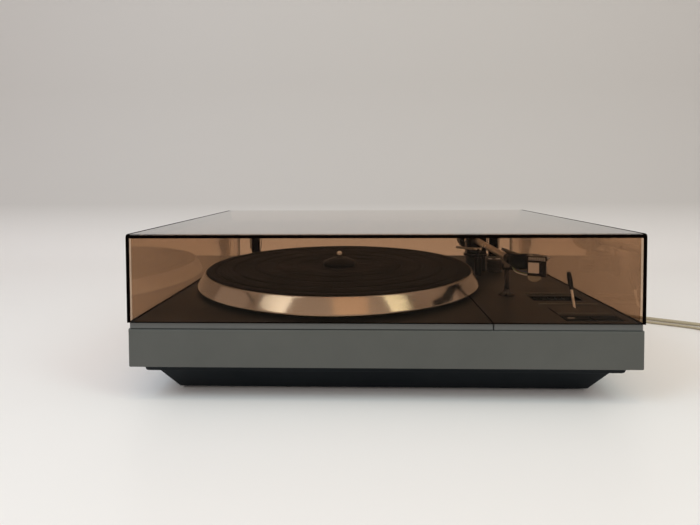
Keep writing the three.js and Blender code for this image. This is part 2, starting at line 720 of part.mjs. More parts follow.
function neckSection(index) {
  const start = tube.reach - collar.overlap + collar.length + seat;
  const rearX = head.frontX + (head.length - head.corner) * Math.sin(radians(head.angleDegrees));
  const rearY = frontReach - (head.length - head.corner) * Math.cos(radians(head.angleDegrees));
  const along = neck.alongShares[index];
  const x = rearX * neck.sweepShares[index];
  const y = -(start + (rearY - start) * along);
  const z = (headPlateZ + head.plate / 2) * neck.riseShares[index];
  const yaw = -radians(head.angleDegrees) * along;
  const halfWidth = (neck.width * neck.widthShares[index]) / 2;
  const halfHeight = (neck.height * neck.heightShares[index]) / 2;
  const squared = (value) => Math.sign(value) * Math.abs(value) ** neck.squareness;
  return Array.from({ length: neck.sides }, (_, k) => {
    const angle = (turn * (k + 0.5)) / neck.sides;
    const across = halfWidth * squared(Math.cos(angle));
    return new THREE.Vector3(
      x + across * Math.cos(yaw), y + across * Math.sin(yaw), z + halfHeight * squared(Math.sin(angle)),
    );
  });
}

// Places a piece drawn with its front at Y = 0 and its length towards +Y under the turned head
const inHead = (geometry) => geometry.rotateZ(-radians(head.angleDegrees))
  .translate(head.frontX, -frontReach, 0);

function headOutline() {
  const half = head.width / 2;
  const bevel = head.corner;
  return [
    [-half + bevel, 0], [half - bevel, 0], [half, bevel], [half, head.length - bevel],
    [half - bevel, head.length], [-half + bevel, head.length], [-half, head.length - bevel], [-half, bevel],
  ];
}

// A thin hood on the neck's back that reaches rearwards over the collar
function neckHood() {
  const rear = tube.reach - collar.overlap + collar.length - hood.reach;
  const outline = [
    [-hood.tip / 2, -rear], [hood.tip / 2, -rear], [hood.width / 2, -rear - hood.reach],
    [hood.root, -rear - hood.reach - hood.lead], [0, -rear - hood.reach - hood.lead],
    [-hood.width / 2, -rear - hood.reach - hood.tip / 2],
  ];
  return at(raised(outline, hood.height), 0, 0, hood.lift);
}

function headshell() {
  const start = tube.reach - collar.overlap + collar.length + seat;
  const spigot = alongArm([
    [0, start - collar.length], [neck.spigot, start - collar.length], [neck.spigot, start + overrun],
    [0, start + overrun],
  ], 16);
  const sweep = skinned(neck.alongShares.map((_, index) => neckSection(index)));
  const plate = inHead(at(raised(headOutline(), head.plate), 0, 0, headPlateZ));
  const half = head.width / 2;
  const fingerLift = inHead(at(raised([
    [half - head.liftWidth, head.corner], [half + head.liftReach, 0], [half + head.liftReach, head.liftWidth],
    [half, head.liftLength],
  ], head.liftHeight), 0, 0, headPlateZ + head.liftHeight));
  return joined(sweep, spigot, plate, fingerLift, neckHood());
}

const cartridgeTop = headPlateZ - seat;

function cartridgeBody() {
  const low = -cartridge.height;
  const profile = [
    [0, 0], [cartridge.length, 0], [cartridge.length, low + cartridge.chin],
    [cartridge.length - cartridge.chin, low], [cartridge.nose / 2, low], [0, low + cartridge.nose],
  ];
  const body = stretched(profile, cartridge.width);
  const pins = [-1, 1].flatMap((side) => [0, 1].map((row) => at(
    drum(cartridge.pin, cartridge.pinLength + cartridge.pin, 8).rotateX(-turn / 4),
    (side * cartridge.pinSpread) / 2, cartridge.length - cartridge.pin,
    low + cartridge.pinRise + row * cartridge.pinStep,
  )));
  return inHead(at(joined(body, ...pins), 0, 0, cartridgeTop));
}

function stylusAssembly() {
  const top = cartridgeTop - cartridge.height - seat;
  const block = at(
    box(stylus.width, stylus.length, stylus.height), 0, stylus.back + stylus.length / 2 + stylus.lever,
    top - stylus.height,
  );
  const lever = at(box(stylus.lever * 2, stylus.leverLength, stylus.lever * 2), 0, stylus.leverLength / 2, 0);
  const reach = at(lever, 0, stylus.back - stylus.drop, top - stylus.height);
  const tip = at(
    drum(stylus.lever, stylus.drop + stylus.lever, 8), 0, stylus.back - stylus.drop + stylus.lever,
    top - stylus.height - stylus.drop,
  );
  return inHead(joined(block, reach, tip));
}

function stylusGuard() {
  const top = cartridgeTop - cartridge.height;
  const half = guard.width / 2;
  const arc = Array.from({ length: guard.sides + 1 }, (_, k) => {
    const angle = Math.PI + (Math.PI * k) / guard.sides;
    return [half * Math.cos(angle), guard.height * Math.sin(angle)];
  });
  const flap = raised(arc, guard.thickness).rotateX(turn / 4);
  const barrel = stretched(circle(0, 0, guard.barrel, 10), guard.width);
  const hung = joined(at(flap, 0, guard.thickness / 2, 0), barrel);
  return inHead(at(hung, -guard.shift, -guard.ahead, top + seat));
}

// Arm rest: a flared post and a fork with a low inner wall, so that the arm swings out over it
function restPost() {
  const top = seat + rest.postHeight;
  return revolved([
    [0, -rest.pegDepth], [rest.peg, -rest.pegDepth], [rest.peg, seat], [rest.footRadius, seat],
    [rest.footRadius, seat + rest.footHeight / 2], [rest.flare, seat + rest.footHeight * 2],
    [rest.waist, seat + rest.flare], [rest.waist, top], [0, top],
  ], 16);
}

function restFork() {
  const half = rest.width / 2;
  return raised([
    [-half, 0], [half, 0], [half, rest.height], [rest.slot, rest.height], [rest.slot, rest.slotFloor],
    [-rest.slot, rest.slotFloor], [-rest.slot, rest.innerWall], [-half, rest.innerWall],
  ], rest.depth).rotateX(turn / 4).translate(0, rest.depth / 2, 0);
}

// Arm lift: a barrel on the deck and a curved bar on a pin under the tube
function liftPlace() {
  const angle = radians(lift.pinDegrees);
  return [armX + lift.radius * Math.cos(angle), armY + lift.radius * Math.sin(angle)];
}

function liftBarrel() {
  const bore = lift.pin + slack;
  return revolved([
    [0, -lift.barrelDepth], [lift.barrel, -lift.barrelDepth], [lift.barrel, lift.barrelHeight],
    [bore, lift.barrelHeight], [bore, seat], [0, seat],
  ], 16);
}

const liftBarTop = pivotLift - tube.rear - lift.clearance;

function liftBar() {
  const inner = lift.radius - lift.band / 2;
  const outer = lift.radius + lift.band / 2;
  const from = radians(lift.fromDegrees);
  const to = radians(lift.toDegrees);
  const arc = (radius, start, end) => Array.from({ length: lift.steps + 1 }, (_, k) => {
    const angle = start + ((end - start) * k) / lift.steps;
    return [radius * Math.cos(angle), radius * Math.sin(angle)];
  });
  const bar = at(raised([...arc(outer, to, from), ...arc(inner, from, to)], lift.height), 0, 0,
    liftBarTop - lift.height);
  const pinFloor = seat * 2 + lift.stroke;
  const angle = radians(lift.pinDegrees);
  const pin = at(
    drum(lift.pin, liftBarTop - lift.height / 2 - pinFloor, 16),
    lift.radius * Math.cos(angle), lift.radius * Math.sin(angle), pinFloor,
  );
  return joined(bar, pin);
}

// Cue lever, drawn upright round its axle and leaned back in its group
function cueStem() {
  const stem = drum(cue.stem, cue.stemLength - cue.stem, 12);
  const axle = stretched(circle(0, 0, cue.axle, 16), cue.slotWidth - seat * 2);
  return joined(stem, axle);
}

function cuePaddle() {
  const half = cue.paddleWidth / 2;
  const tip = cue.tipWidth / 2;
  const [low, high] = cue.fullShares.map((share) => share * cue.paddle);
  const outline = [
    [-tip, 0], [tip, 0], [half, low], [half, high],
    [tip, cue.paddle], [-tip, cue.paddle], [-half, high], [-half, low],
  ];
  return raised(outline, cue.paddleThickness).rotateX(turn / 4)
    .translate(0, cue.paddleThickness / 2, cue.stemLength - cue.stem + seat);
}

function antiskateDial() {
  const profile = [[0, 0], [dial.skirt, 0]];
  const pitch = (dial.height - dial.capHeight) / (dial.ribs + 1);
  for (let k = 1; k <= dial.ribs; k += 1) {
    profile.push([dial.skirt, k * pitch - dial.rib], [dial.radius - dial.rib, k * pitch - dial.rib / 2]);
    profile.push([dial.radius - dial.rib, k * pitch + dial.rib / 2], [dial.radius, k * pitch + dial.rib]);
  }
  const top = dial.height - dial.capHeight;
  profile.push([dial.radius, top], [dial.cap, top], [dial.cap, dial.height], [0, dial.height]);
  return revolved(profile, dial.sides);
}

// Dust cover: a side profile stretched across the cabinet, hollowed, with a pocket for each hinge leaf
function coverProfile(inset, floor) {
  const rear = cabinetDepth - inset;
  const bend = (cabinetDepth - cover.flatDepth) / (coverHeight - cover.rearHeight);
  const slide = inset * Math.sqrt(1 + bend * bend);
  const roof = coverHeight - inset;
  const rearTop = cover.rearHeight - (slide - inset) / bend;
  const roofEnd = rear - (roof - rearTop) * bend;
  const edge = inset > 0 ? 0 : cover.edge;
  const front = edge > 0
    ? [
      [inset, roof - edge], [inset + edge * cover.roundShare, roof - edge * cover.roundShare],
      [inset + edge, roof],
    ]
    : [[inset, roof]];
  return [[inset, floor], ...front, [roofEnd, roof], [rear, rearTop], [rear, floor]];
}

function dustCover() {
  const shell = stretched(coverProfile(0, 0), cabinetWidth);
  const hollow = stretched(coverProfile(cover.wall, -overrun), cabinetWidth - cover.wall * 2);
  const leafRoom = hinge.leaf + seat * 2;
  const outer = hinge.width + (cover.pocketWall + seat) * 2;
  const pocketDepth = leafRoom + cover.pocketWall;
  const pockets = [-1, 1].map((side) => at(
    box(outer, pocketDepth + cover.wall / 2, cover.pocketHeight), side * hingeX,
    cabinetDepth + pocketDepth / 2 - cover.wall / 4, cover.pocketLift,
  ));
  const slots = [-1, 1].map((side) => at(
    box(hinge.width + seat * 2, leafRoom, cover.pocketHeight - cover.pocketWall + overrun), side * hingeX,
    cabinetDepth + leafRoom / 2, cover.pocketLift - overrun,
  ));
  const bevelCut = stretched([
    [cabinetDepth + pocketDepth + overrun, cover.rearHeight], [cabinetDepth, cover.rearHeight],
    [cabinetDepth, cover.pocketLift + cover.pocketHeight + overrun],
    [cabinetDepth + pocketDepth + overrun, cover.pocketLift + cover.pocketHeight + overrun],
  ], cabinetWidth);
  return cut(joined(cut(shell, hollow), ...pockets), ...slots, bevelCut);
}

// Hinges, drawn round their pin: +Y is the rear
function hingeBlock() {
  const front = -hinge.axisOut + seat;
  const rear = hinge.knuckle;
  const below = -hinge.axisLift - hinge.blockDrop;
  const shoulder = -hinge.knuckle - seat * 2;
  const block = stretched([[front, below], [rear, below], [rear, shoulder], [front, shoulder]], hinge.width);
  const ear = [
    [-hinge.knuckle, shoulder - seat],
    ...circle(0, 0, hinge.knuckle, hinge.sides).slice(0, hinge.sides / 2 + 1).reverse(),
    [hinge.knuckle, shoulder - seat],
  ];
  const ears = [-1, 1].map((side) => at(
    stretched(ear.reverse(), hinge.ear), side * (hinge.width / 2 - hinge.ear / 2), 0, 0,
  ));
  const bore = stretched(circle(0, 0, hinge.pin + seat, 16), hinge.width + overrun);
  return cut(joined(block, ...ears), bore);
}

function hingeLeaf() {
  const front = -hinge.axisOut + seat;
  const plateFoot = hinge.knuckle / 2;
  const plate = stretched([
    [front, plateFoot], [front + hinge.leaf, plateFoot], [front + hinge.leaf, hinge.leafHeight],
    [front, hinge.leafHeight],
  ], hinge.width);
  const web = hinge.width - hinge.ear * 2 - seat * 2;
  const knuckle = stretched(circle(0, 0, hinge.knuckle, hinge.sides), web);
  const arm = stretched([
    [front, plateFoot], [-hinge.knuckle / 2, -hinge.knuckle / 2], [0, plateFoot],
    [front + hinge.leaf, plateFoot * 2], [front, plateFoot * 2],
  ], web);
  const bore = stretched(circle(0, 0, hinge.pin + seat, 16), hinge.width + overrun);
  return cut(joined(plate, knuckle, arm), bore);
}

const hingePin = () => stretched(circle(0, 0, hinge.pin, 16), hinge.width + hinge.pin);

// Strain relief: a ribbed, tapered boot with a flange inside the rear wall
function strainRelief(lead) {
  const end = lead.radius + relief.neckWall;
  const inside = frame.wall + seat;
  const profile = [[0, -inside - relief.flangeHeight], [relief.flange, -inside - relief.flangeHeight],
    [relief.flange, -inside], [relief.root, -inside], [relief.root, 0]];
  const pitch = relief.length / (relief.ribs + 1);
  for (let k = 1; k <= relief.ribs; k += 1) {
    const radius = relief.root + ((end - relief.root) * k) / (relief.ribs + 1);
    profile.push([radius, k * pitch - pitch / 4], [radius - relief.ribDepth, k * pitch]);
    profile.push([radius - relief.ribDepth, k * pitch + pitch / 4]);
  }
  profile.push([end, relief.length], [0, relief.length]);
  return revolved(profile, 12).rotateX(-turn / 4);
}

// A lead's free stretch, swept along its route
function freeLead(lead, route) {
  const points = route.map((point) => new THREE.Vector3(...point));
  const curve = new THREE.CatmullRomCurve3(points, false, 'centripetal');
  const shape = new THREE.Shape(
    circle(0, 0, lead.radius, lead.sides).map(([x, y]) => new THREE.Vector2(x, y)),
  );
  return new THREE.ExtrudeGeometry(shape, { steps: lead.steps, bevelEnabled: false, extrudePath: curve });
}

// The centre line of a coil: in along the lower layer, up in half a turn, out along the upper layer
function coilPath(lead, coil, endHeight) {
  const pitch = lead.radius * 2 + coilGap;
  const lowZ = lead.radius + tie.thickness + tie.clearance + seat;
  const heading = radians(coil.headingDegrees);
  const forward = new THREE.Vector3(Math.cos(heading), Math.sin(heading), 0);
  const begin = new THREE.Vector3(coil.x, coil.y, lowZ);
  const roundStart = begin.clone().addScaledVector(forward, lead.radius * 2);
  const inward = new THREE.Vector3(-forward.y, forward.x, 0);
  const centre = roundStart.clone().addScaledVector(inward, coil.radius);
  const startAngle = heading - turn / 4;
  const inner = coil.radius - pitch * coil.turnsIn;
  const total = coil.turnsIn + climbTurns + coil.turnsOut;
  const points = [begin];
  for (let k = 0; k <= total * coilSteps; k += 1) {
    const turns = k / coilSteps;
    const climb = THREE.MathUtils.clamp(turns - coil.turnsIn, 0, climbTurns);
    const share = climb / climbTurns;
    const out = Math.max(turns - coil.turnsIn - climbTurns, 0);
    const radius = turns <= coil.turnsIn
      ? coil.radius - pitch * turns
      : inner - pitch * climb + (pitch * climb * climb) / climbTurns + pitch * out;
    const angle = startAngle + turn * turns;
    const z = lowZ + pitch * share * share * (3 - 2 * share);
    points.push(new THREE.Vector3(
      centre.x + radius * Math.cos(angle), centre.y + radius * Math.sin(angle), z,
    ));
  }
  const last = points[points.length - 1];
  const away = new THREE.Vector3(Math.cos(startAngle + turn * total + turn / 4),
    Math.sin(startAngle + turn * total + turn / 4), 0);
  const tailSteps = 6;
  for (let k = 1; k <= tailSteps; k += 1) {
    const share = Math.min(k / (tailSteps - 1), 1);
    const point = last.clone().addScaledVector(away, (coil.tail * k) / tailSteps);
    point.z = last.z + (endHeight - last.z) * share * share * (3 - 2 * share);
    points.push(point);
  }
  return { points, centre, away, end: points[points.length - 1], lowZ, pitch, inner };
}

// A tube of flat-sided rings along a nearly level line
function woundTube(points, radius) {
  const rings = points.map((point, k) => {
    const before = points[Math.max(k - 1, 0)];
    const after = points[Math.min(k + 1, points.length - 1)];
    const along = after.clone().sub(before).normalize();
    const side = new THREE.Vector3(along.y, -along.x, 0).normalize();
    const up = side.clone().cross(along);
    return Array.from({ length: coilSides }, (_, n) => {
      const angle = (turn * (n + 0.5)) / coilSides;
      return point.clone().addScaledVector(side, radius * Math.cos(angle))
        .addScaledVector(up, radius * Math.sin(angle));
    });
  });
  return skinned(rings);
}

// Least gap between the tube's own turns, measured on the points of its centre line
function leastGap(points, radius) {
  const skip = Math.floor(coilSteps / 3);
  let least = Infinity;
  points.forEach((point, k) => {
    for (let n = k + skip; n < points.length; n += 1) least = Math.min(least, point.distanceTo(points[n]));
  });
  return least - radius * 2;
}

// A strap round the bundle of turns
function coilTie(lead, coil, path) {
  const inner = path.inner - path.pitch / 8 - lead.radius - tie.clearance;
  const outer = coil.radius + lead.radius + tie.clearance;
  const low = path.lowZ - lead.radius - tie.clearance;
  const high = path.lowZ + path.pitch + lead.radius + tie.clearance;
  const wall = tie.thickness;
  const ring = (grow) => [
    [inner - grow, low - grow], [outer + grow, low - grow],
    [outer + grow, high + grow], [inner - grow, high + grow],
  ];
  const strap = raised(ring(wall), tie.width, [ring(0).reverse()]).rotateX(turn / 4)
    .translate(0, tie.width / 2, 0);
  return at(strap.rotateZ(radians(coil.tieDegrees)), path.centre.x, path.centre.y, 0);
}

// Plugs, drawn with the lead's end at the origin and their length along +X
function mainsPlugBody() {
  const half = mainsPlug.width / 2;
  const neckHalf = mainsPlug.neck / 2;
  const shoulder = mainsPlug.neckLength + mainsPlug.length * mainsPlug.shoulderShare;
  const end = mainsPlug.neckLength + mainsPlug.length;
  const outline = [
    [0, -neckHalf], [mainsPlug.neckLength, -neckHalf], [shoulder, -half], [end, -half], [end, half],
    [shoulder, half], [mainsPlug.neckLength, neckHalf], [0, neckHalf],
  ];
  const body = at(raised(outline, mainsPlug.thickness), 0, 0, -mainsPlug.thickness / 2);
  const trimTop = at(box(mainsPlug.neckLength * 2, mainsPlug.width, mainsPlug.thickness), 0, 0, neckHalf);
  const trimLow = at(box(mainsPlug.neckLength * 2, mainsPlug.width, mainsPlug.thickness), 0, 0,
    -neckHalf - mainsPlug.thickness);
  const pins = [-1, 1].map((side) => at(
    drum(mainsPlug.pin, mainsPlug.pinLength + overrun, mainsPlug.pinSides).rotateY(turn / 4),
    end - overrun, side * mainsPlug.pinSpread, 0,
  ));
  return joined(cut(body, trimTop, trimLow), ...pins);
}

function signalPlugBody() {
  const bootEnd = signalPlug.boot;
  const bodyEnd = bootEnd + signalPlug.length;
  const shellEnd = bodyEnd + signalPlug.shellLength;
  const bore = signalPlug.shell - signalPlug.shellWall;
  const grip = signalPlug.radius - signalPlug.shellWall;
  return revolved([
    [0, 0], [signalPlug.bootEnd, 0], [grip, bootEnd], [signalPlug.radius, bootEnd + signalPlug.shellWall],
    [signalPlug.radius, bootEnd + signalPlug.length / 4], [grip, bootEnd + signalPlug.length / 3],
    [grip, bodyEnd - signalPlug.length / 4], [signalPlug.radius, bodyEnd - signalPlug.length / 5],
    [signalPlug.radius, bodyEnd], [signalPlug.shell, bodyEnd], [signalPlug.shell, shellEnd], [bore, shellEnd],
    [bore, bodyEnd + signalPlug.shellWall], [0, bodyEnd + signalPlug.shellWall],
  ], 16).rotateY(turn / 4);
}

// Materials
const finish = (color, roughness, metalness) => (
  new THREE.MeshStandardMaterial({ color, roughness, metalness })
);
const blackPlastic = finish(0x1b1f22, 0.5, 0);
const greyPaint = finish(0x4b4e4c, 0.55, 0.2);
const deckBlack = finish(0x2b2622, 0.5, 0.1);
const smokedClear = finish(0x5c4632, 0.1, 0);
smokedClear.transparent = true;
smokedClear.opacity = 0.45;
const aluminium = finish(0xb9b4a8, 0.3, 0.9);
const steel = finish(0xc9cbcc, 0.2, 1);
const matRubber = finish(0x1c1a18, 0.85, 0);
const softRubber = finish(0x222222, 0.8, 0);
const greyPlastic = finish(0x8c8f90, 0.45, 0);
const boardGreen = finish(0x47603a, 0.6, 0);
const ironCore = finish(0x55504a, 0.6, 0.6);
const cream = finish(0xd8d2c4, 0.35, 0);
const cordBeige = finish(0x91835f, 0.55, 0);

// Assembly
const group = new THREE.Group();
group.name = 'record_player';
const cabinet = new THREE.Group();
cabinet.position.y = -overallDepth / 2;
group.add(cabinet);

function subGroup(parent, x, y, z) {
  const child = new THREE.Group();
  child.position.set(x, y, z);
  parent.add(child);
  return child;
}

function place(parent, name, geometry, material, x = 0, y = 0, z = 0) {
  const closed = bareGeometry(geometry);
  closed.computeVertexNormals();
  const mesh = new THREE.Mesh(closed, material);
  mesh.name = name;
  mesh.position.set(x, y, z);
  parent.add(mesh);
  return mesh;
}

place(cabinet, 'base_pan', basePan(), blackPlastic, 0, 0, panZ);
cornerPlaces(foot.inset, foot.inset).forEach(([name, x, y]) => {
  place(cabinet, `foot_${name}`, footPad(), softRubber, x, y, 0);
});
place(cabinet, 'plinth_frame', plinthFrame(), greyPaint, 0, 0, frameZ);
place(cabinet, 'deck_main', deckMain(), deckBlack, 0, 0, deckZ);
place(cabinet, 'deck_control', deckControl(), deckBlack, 0, 0, deckZ);
place(cabinet, 'dust_cover', dustCover(), smokedClear, 0, 0, coverZ);

[['left', -hingeX], ['right', hingeX]].forEach(([side, x]) => {
  const knuckles = subGroup(cabinet, x, cabinetDepth + hinge.axisOut, coverZ + hinge.axisLift);
  place(knuckles, `hinge_base_${side}`, hingeBlock(), blackPlastic);
  place(knuckles, `hinge_leaf_${side}`, hingeLeaf(), blackPlastic);
  place(knuckles, `hinge_pin_${side}`, hingePin(), steel);
});

const drive = subGroup(cabinet, axisX, axisY, deckTop);
place(drive, 'platter', platterBody(), aluminium, 0, 0, platter.lift);
place(drive, 'platter_mat', platterMat(), matRubber, 0, 0, platter.lift + webTop + seat);
place(drive, 'single_adapter', singleAdapter(), blackPlastic, 0, 0,
  platter.lift + webTop + mat.height - mat.labelDrop * 2 + seat * 2);
place(drive, 'sub_platter', subPlatterBody(), greyPlastic, 0, 0, subPlatter.lift);
place(drive, 'spindle_shaft', spindleShaft(), steel);
place(drive, 'bearing_housing', bearingHousing(), aluminium);

const [motorX, motorY] = motorPlace();
const motorGroup = subGroup(cabinet, motorX, motorY, deckTop);
place(cabinet, 'drive_belt', driveBelt(), softRubber, 0, 0,
  deckTop + subPlatter.lift + (pulleyHeight - belt.height) / 2);
place(motorGroup, 'motor_pulley', motorPulley(), aluminium, 0, 0, subPlatter.lift);
place(motorGroup, 'motor_bracket', motorBracket(), steel, 0, 0, bracketTop - motor.bracketHeight);
place(motorGroup, 'motor_can', motorCan(), steel, 0, 0,
  bracketTop - motor.bracketHeight - seat - motor.height);

place(cabinet, 'transformer', transformerBody(), ironCore, transformer.inset - rightEdge,
  cabinetDepth - transformer.rearInset, panZ + pan.wall + seat);
place(cabinet, 'control_board', controlBoard(), boardGreen, boardX, board.y,
  deckTop - board.drop - board.height);

keyPlaces().forEach(([name, keys, x]) => {
  place(cabinet, name, keyBody(keys), blackPlastic, x, keys.y, deckTop);
});

place(cabinet, 'arm_base', armBaseBody(), blackPlastic, armX, armY, deckTop);
const arm = subGroup(cabinet, armX, armY, pivotZ);
place(arm, 'gimbal_yoke', gimbalYoke(), blackPlastic);
place(arm, 'pivot_block', pivotBlockBody(), aluminium);
place(arm, 'arm_tube', armTube(), aluminium);
place(arm, 'counterweight', counterweightBody(), blackPlastic);
place(arm, 'headshell', headshell(), blackPlastic);
place(arm, 'cartridge', cartridgeBody(), blackPlastic);
place(arm, 'stylus', stylusAssembly(), greyPlastic);
place(arm, 'stylus_guard', stylusGuard(), cream);

place(cabinet, 'arm_rest_post', restPost(), steel, armX, restY, deckTop);
place(cabinet, 'arm_rest_fork', restFork(), blackPlastic, armX, restY,
  deckTop + seat + rest.postHeight + seat);
const [liftX, liftY] = liftPlace();
place(cabinet, 'lift_barrel', liftBarrel(), blackPlastic, liftX, liftY, deckTop);
place(cabinet, 'lift_bar', liftBar(), steel, armX, armY, deckTop);
const lever = subGroup(cabinet, cueX, cue.y, deckTop - cue.pivotDrop);
lever.rotation.x = -radians(cue.lean);
place(lever, 'cue_lever', cueStem(), steel);
place(lever, 'cue_paddle', cuePaddle(), blackPlastic);
place(cabinet, 'antiskate_dial', antiskateDial(), blackPlastic, armX + dial.right, armY - dial.ahead,
  deckTop + seat);

function addLead(label, lead, route, coil, plugGeometry, endHeight) {
  const relieved = place(cabinet, `${label}_strain_relief`, strainRelief(lead), softRubber,
    lead.exitX, cabinetDepth, exitZ);
  place(cabinet, `${label}_lead`, freeLead(lead, route), cordBeige);
  const path = coilPath(lead, coil, endHeight);
  place(cabinet, `${label}_coil`, woundTube(path.points, lead.radius), cordBeige);
  place(cabinet, `${label}_tie`, coilTie(lead, coil, path), softRubber);
  const plug = place(cabinet, `${label}_plug`, plugGeometry, relieved.material);
  plug.position.copy(path.end).addScaledVector(path.away, seat);
  plug.rotation.z = Math.atan2(path.away.y, path.away.x);
  console.log(`${label}_coil least gap ${leastGap(path.points, lead.radius).toFixed(2)} mm`);
}

addLead('mains', mainsLead, mainsRoute, mainsCoil, mainsPlugBody(), mainsPlug.thickness / 2);
addLead('signal', signalLead, signalRoute, signalCoil, signalPlugBody(), signalPlug.radius);

export default group;
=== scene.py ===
# The looks of a belt-driven record player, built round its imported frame.
# Lengths are in millimetres, and turned into metres where a piece is made. The camera, the planes that
# cut the cover, the stage and the lamps are in metres.

import json
import math

import bmesh
import bpy
from mathutils import Matrix, Vector


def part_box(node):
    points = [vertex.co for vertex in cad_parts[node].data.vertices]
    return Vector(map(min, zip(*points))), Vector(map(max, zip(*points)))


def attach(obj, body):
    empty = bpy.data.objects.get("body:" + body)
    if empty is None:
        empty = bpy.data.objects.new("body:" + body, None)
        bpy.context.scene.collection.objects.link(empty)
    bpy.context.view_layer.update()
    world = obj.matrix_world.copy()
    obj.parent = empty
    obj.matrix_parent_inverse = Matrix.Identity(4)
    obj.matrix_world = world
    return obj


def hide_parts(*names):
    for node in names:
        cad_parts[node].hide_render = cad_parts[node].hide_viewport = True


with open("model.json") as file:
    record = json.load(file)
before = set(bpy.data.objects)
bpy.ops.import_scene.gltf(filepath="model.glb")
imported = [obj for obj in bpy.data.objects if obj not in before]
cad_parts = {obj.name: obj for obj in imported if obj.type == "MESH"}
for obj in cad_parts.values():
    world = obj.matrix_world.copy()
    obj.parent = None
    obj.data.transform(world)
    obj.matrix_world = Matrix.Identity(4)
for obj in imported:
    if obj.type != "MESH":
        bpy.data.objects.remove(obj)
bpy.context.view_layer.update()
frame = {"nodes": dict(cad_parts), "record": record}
scene = bpy.context.scene
nodes = frame["nodes"]
slot_of = {part["node"]: part["material_slot"] for part in frame["record"]["subparts"]}
body_of = {
    node: body for body, members in frame["record"]["behaviour"]["bodies"].items() for node in members
}
MM = 0.001
TURN = 2 * math.pi
UPWARDS = Vector((0, 0, 1))


def metres(point):
    return Vector(point) * MM


# Camera, at the viewing point of the photograph, turned to the right, down and round its own axis
CAMERA_PLACE = (-0.015, -0.559, 0.188)
CAMERA_YAW, CAMERA_PITCH, CAMERA_ROLL = (math.radians(angle) for angle in (-1.58, 1.78, -0.26))
SENSOR_WIDTH, LENS_LENGTH = 36.0, 23.966
LENS_SHIFT_X, LENS_SHIFT_Y = -0.00157, -0.098
NEAREST_SEEN = 0.02
camera = bpy.data.objects.new("camera", bpy.data.cameras.new("camera"))
scene.collection.objects.link(camera)
scene.camera = camera
camera.data.sensor_width = SENSOR_WIDTH
camera.data.lens = LENS_LENGTH
camera.data.shift_x = LENS_SHIFT_X
camera.data.shift_y = LENS_SHIFT_Y
camera.data.clip_start = NEAREST_SEEN
level_right = Vector((math.cos(CAMERA_YAW), -math.sin(CAMERA_YAW), 0))
level_ahead = Vector((math.sin(CAMERA_YAW), math.cos(CAMERA_YAW), 0))
ahead = level_ahead * math.cos(CAMERA_PITCH) - UPWARDS * math.sin(CAMERA_PITCH)
upright = UPWARDS * math.cos(CAMERA_PITCH) + level_ahead * math.sin(CAMERA_PITCH)
right = level_right * math.cos(CAMERA_ROLL) + upright * math.sin(CAMERA_ROLL)
over = upright * math.cos(CAMERA_ROLL) - level_right * math.sin(CAMERA_ROLL)
turned_view = Matrix((right, over, -ahead)).transposed().to_4x4()
camera.matrix_world = Matrix.Translation(CAMERA_PLACE) @ turned_view


# Materials
NOISE_ROUGHNESS = 0.55
# A finish's broad changes: their scale, how far they mix in and their share of the finish's darker tone
BROAD_SCALE, WORN_SHARE, WORN_TONE = 22.0, 0.6, 0.8
# The upright part of a face's normal where the tone of upright faces ends and that of level ones is full
UPRIGHT_END, LEVEL_START = 0.35, 0.8


def linear(colour):
    """Red, green and blue from 0 to 255, as shown on a screen, to linear light."""
    shares = [value / 255 for value in colour]
    return tuple(v / 12.92 if v <= 0.04045 else ((v + 0.055) / 1.055) ** 2.4 for v in shares)


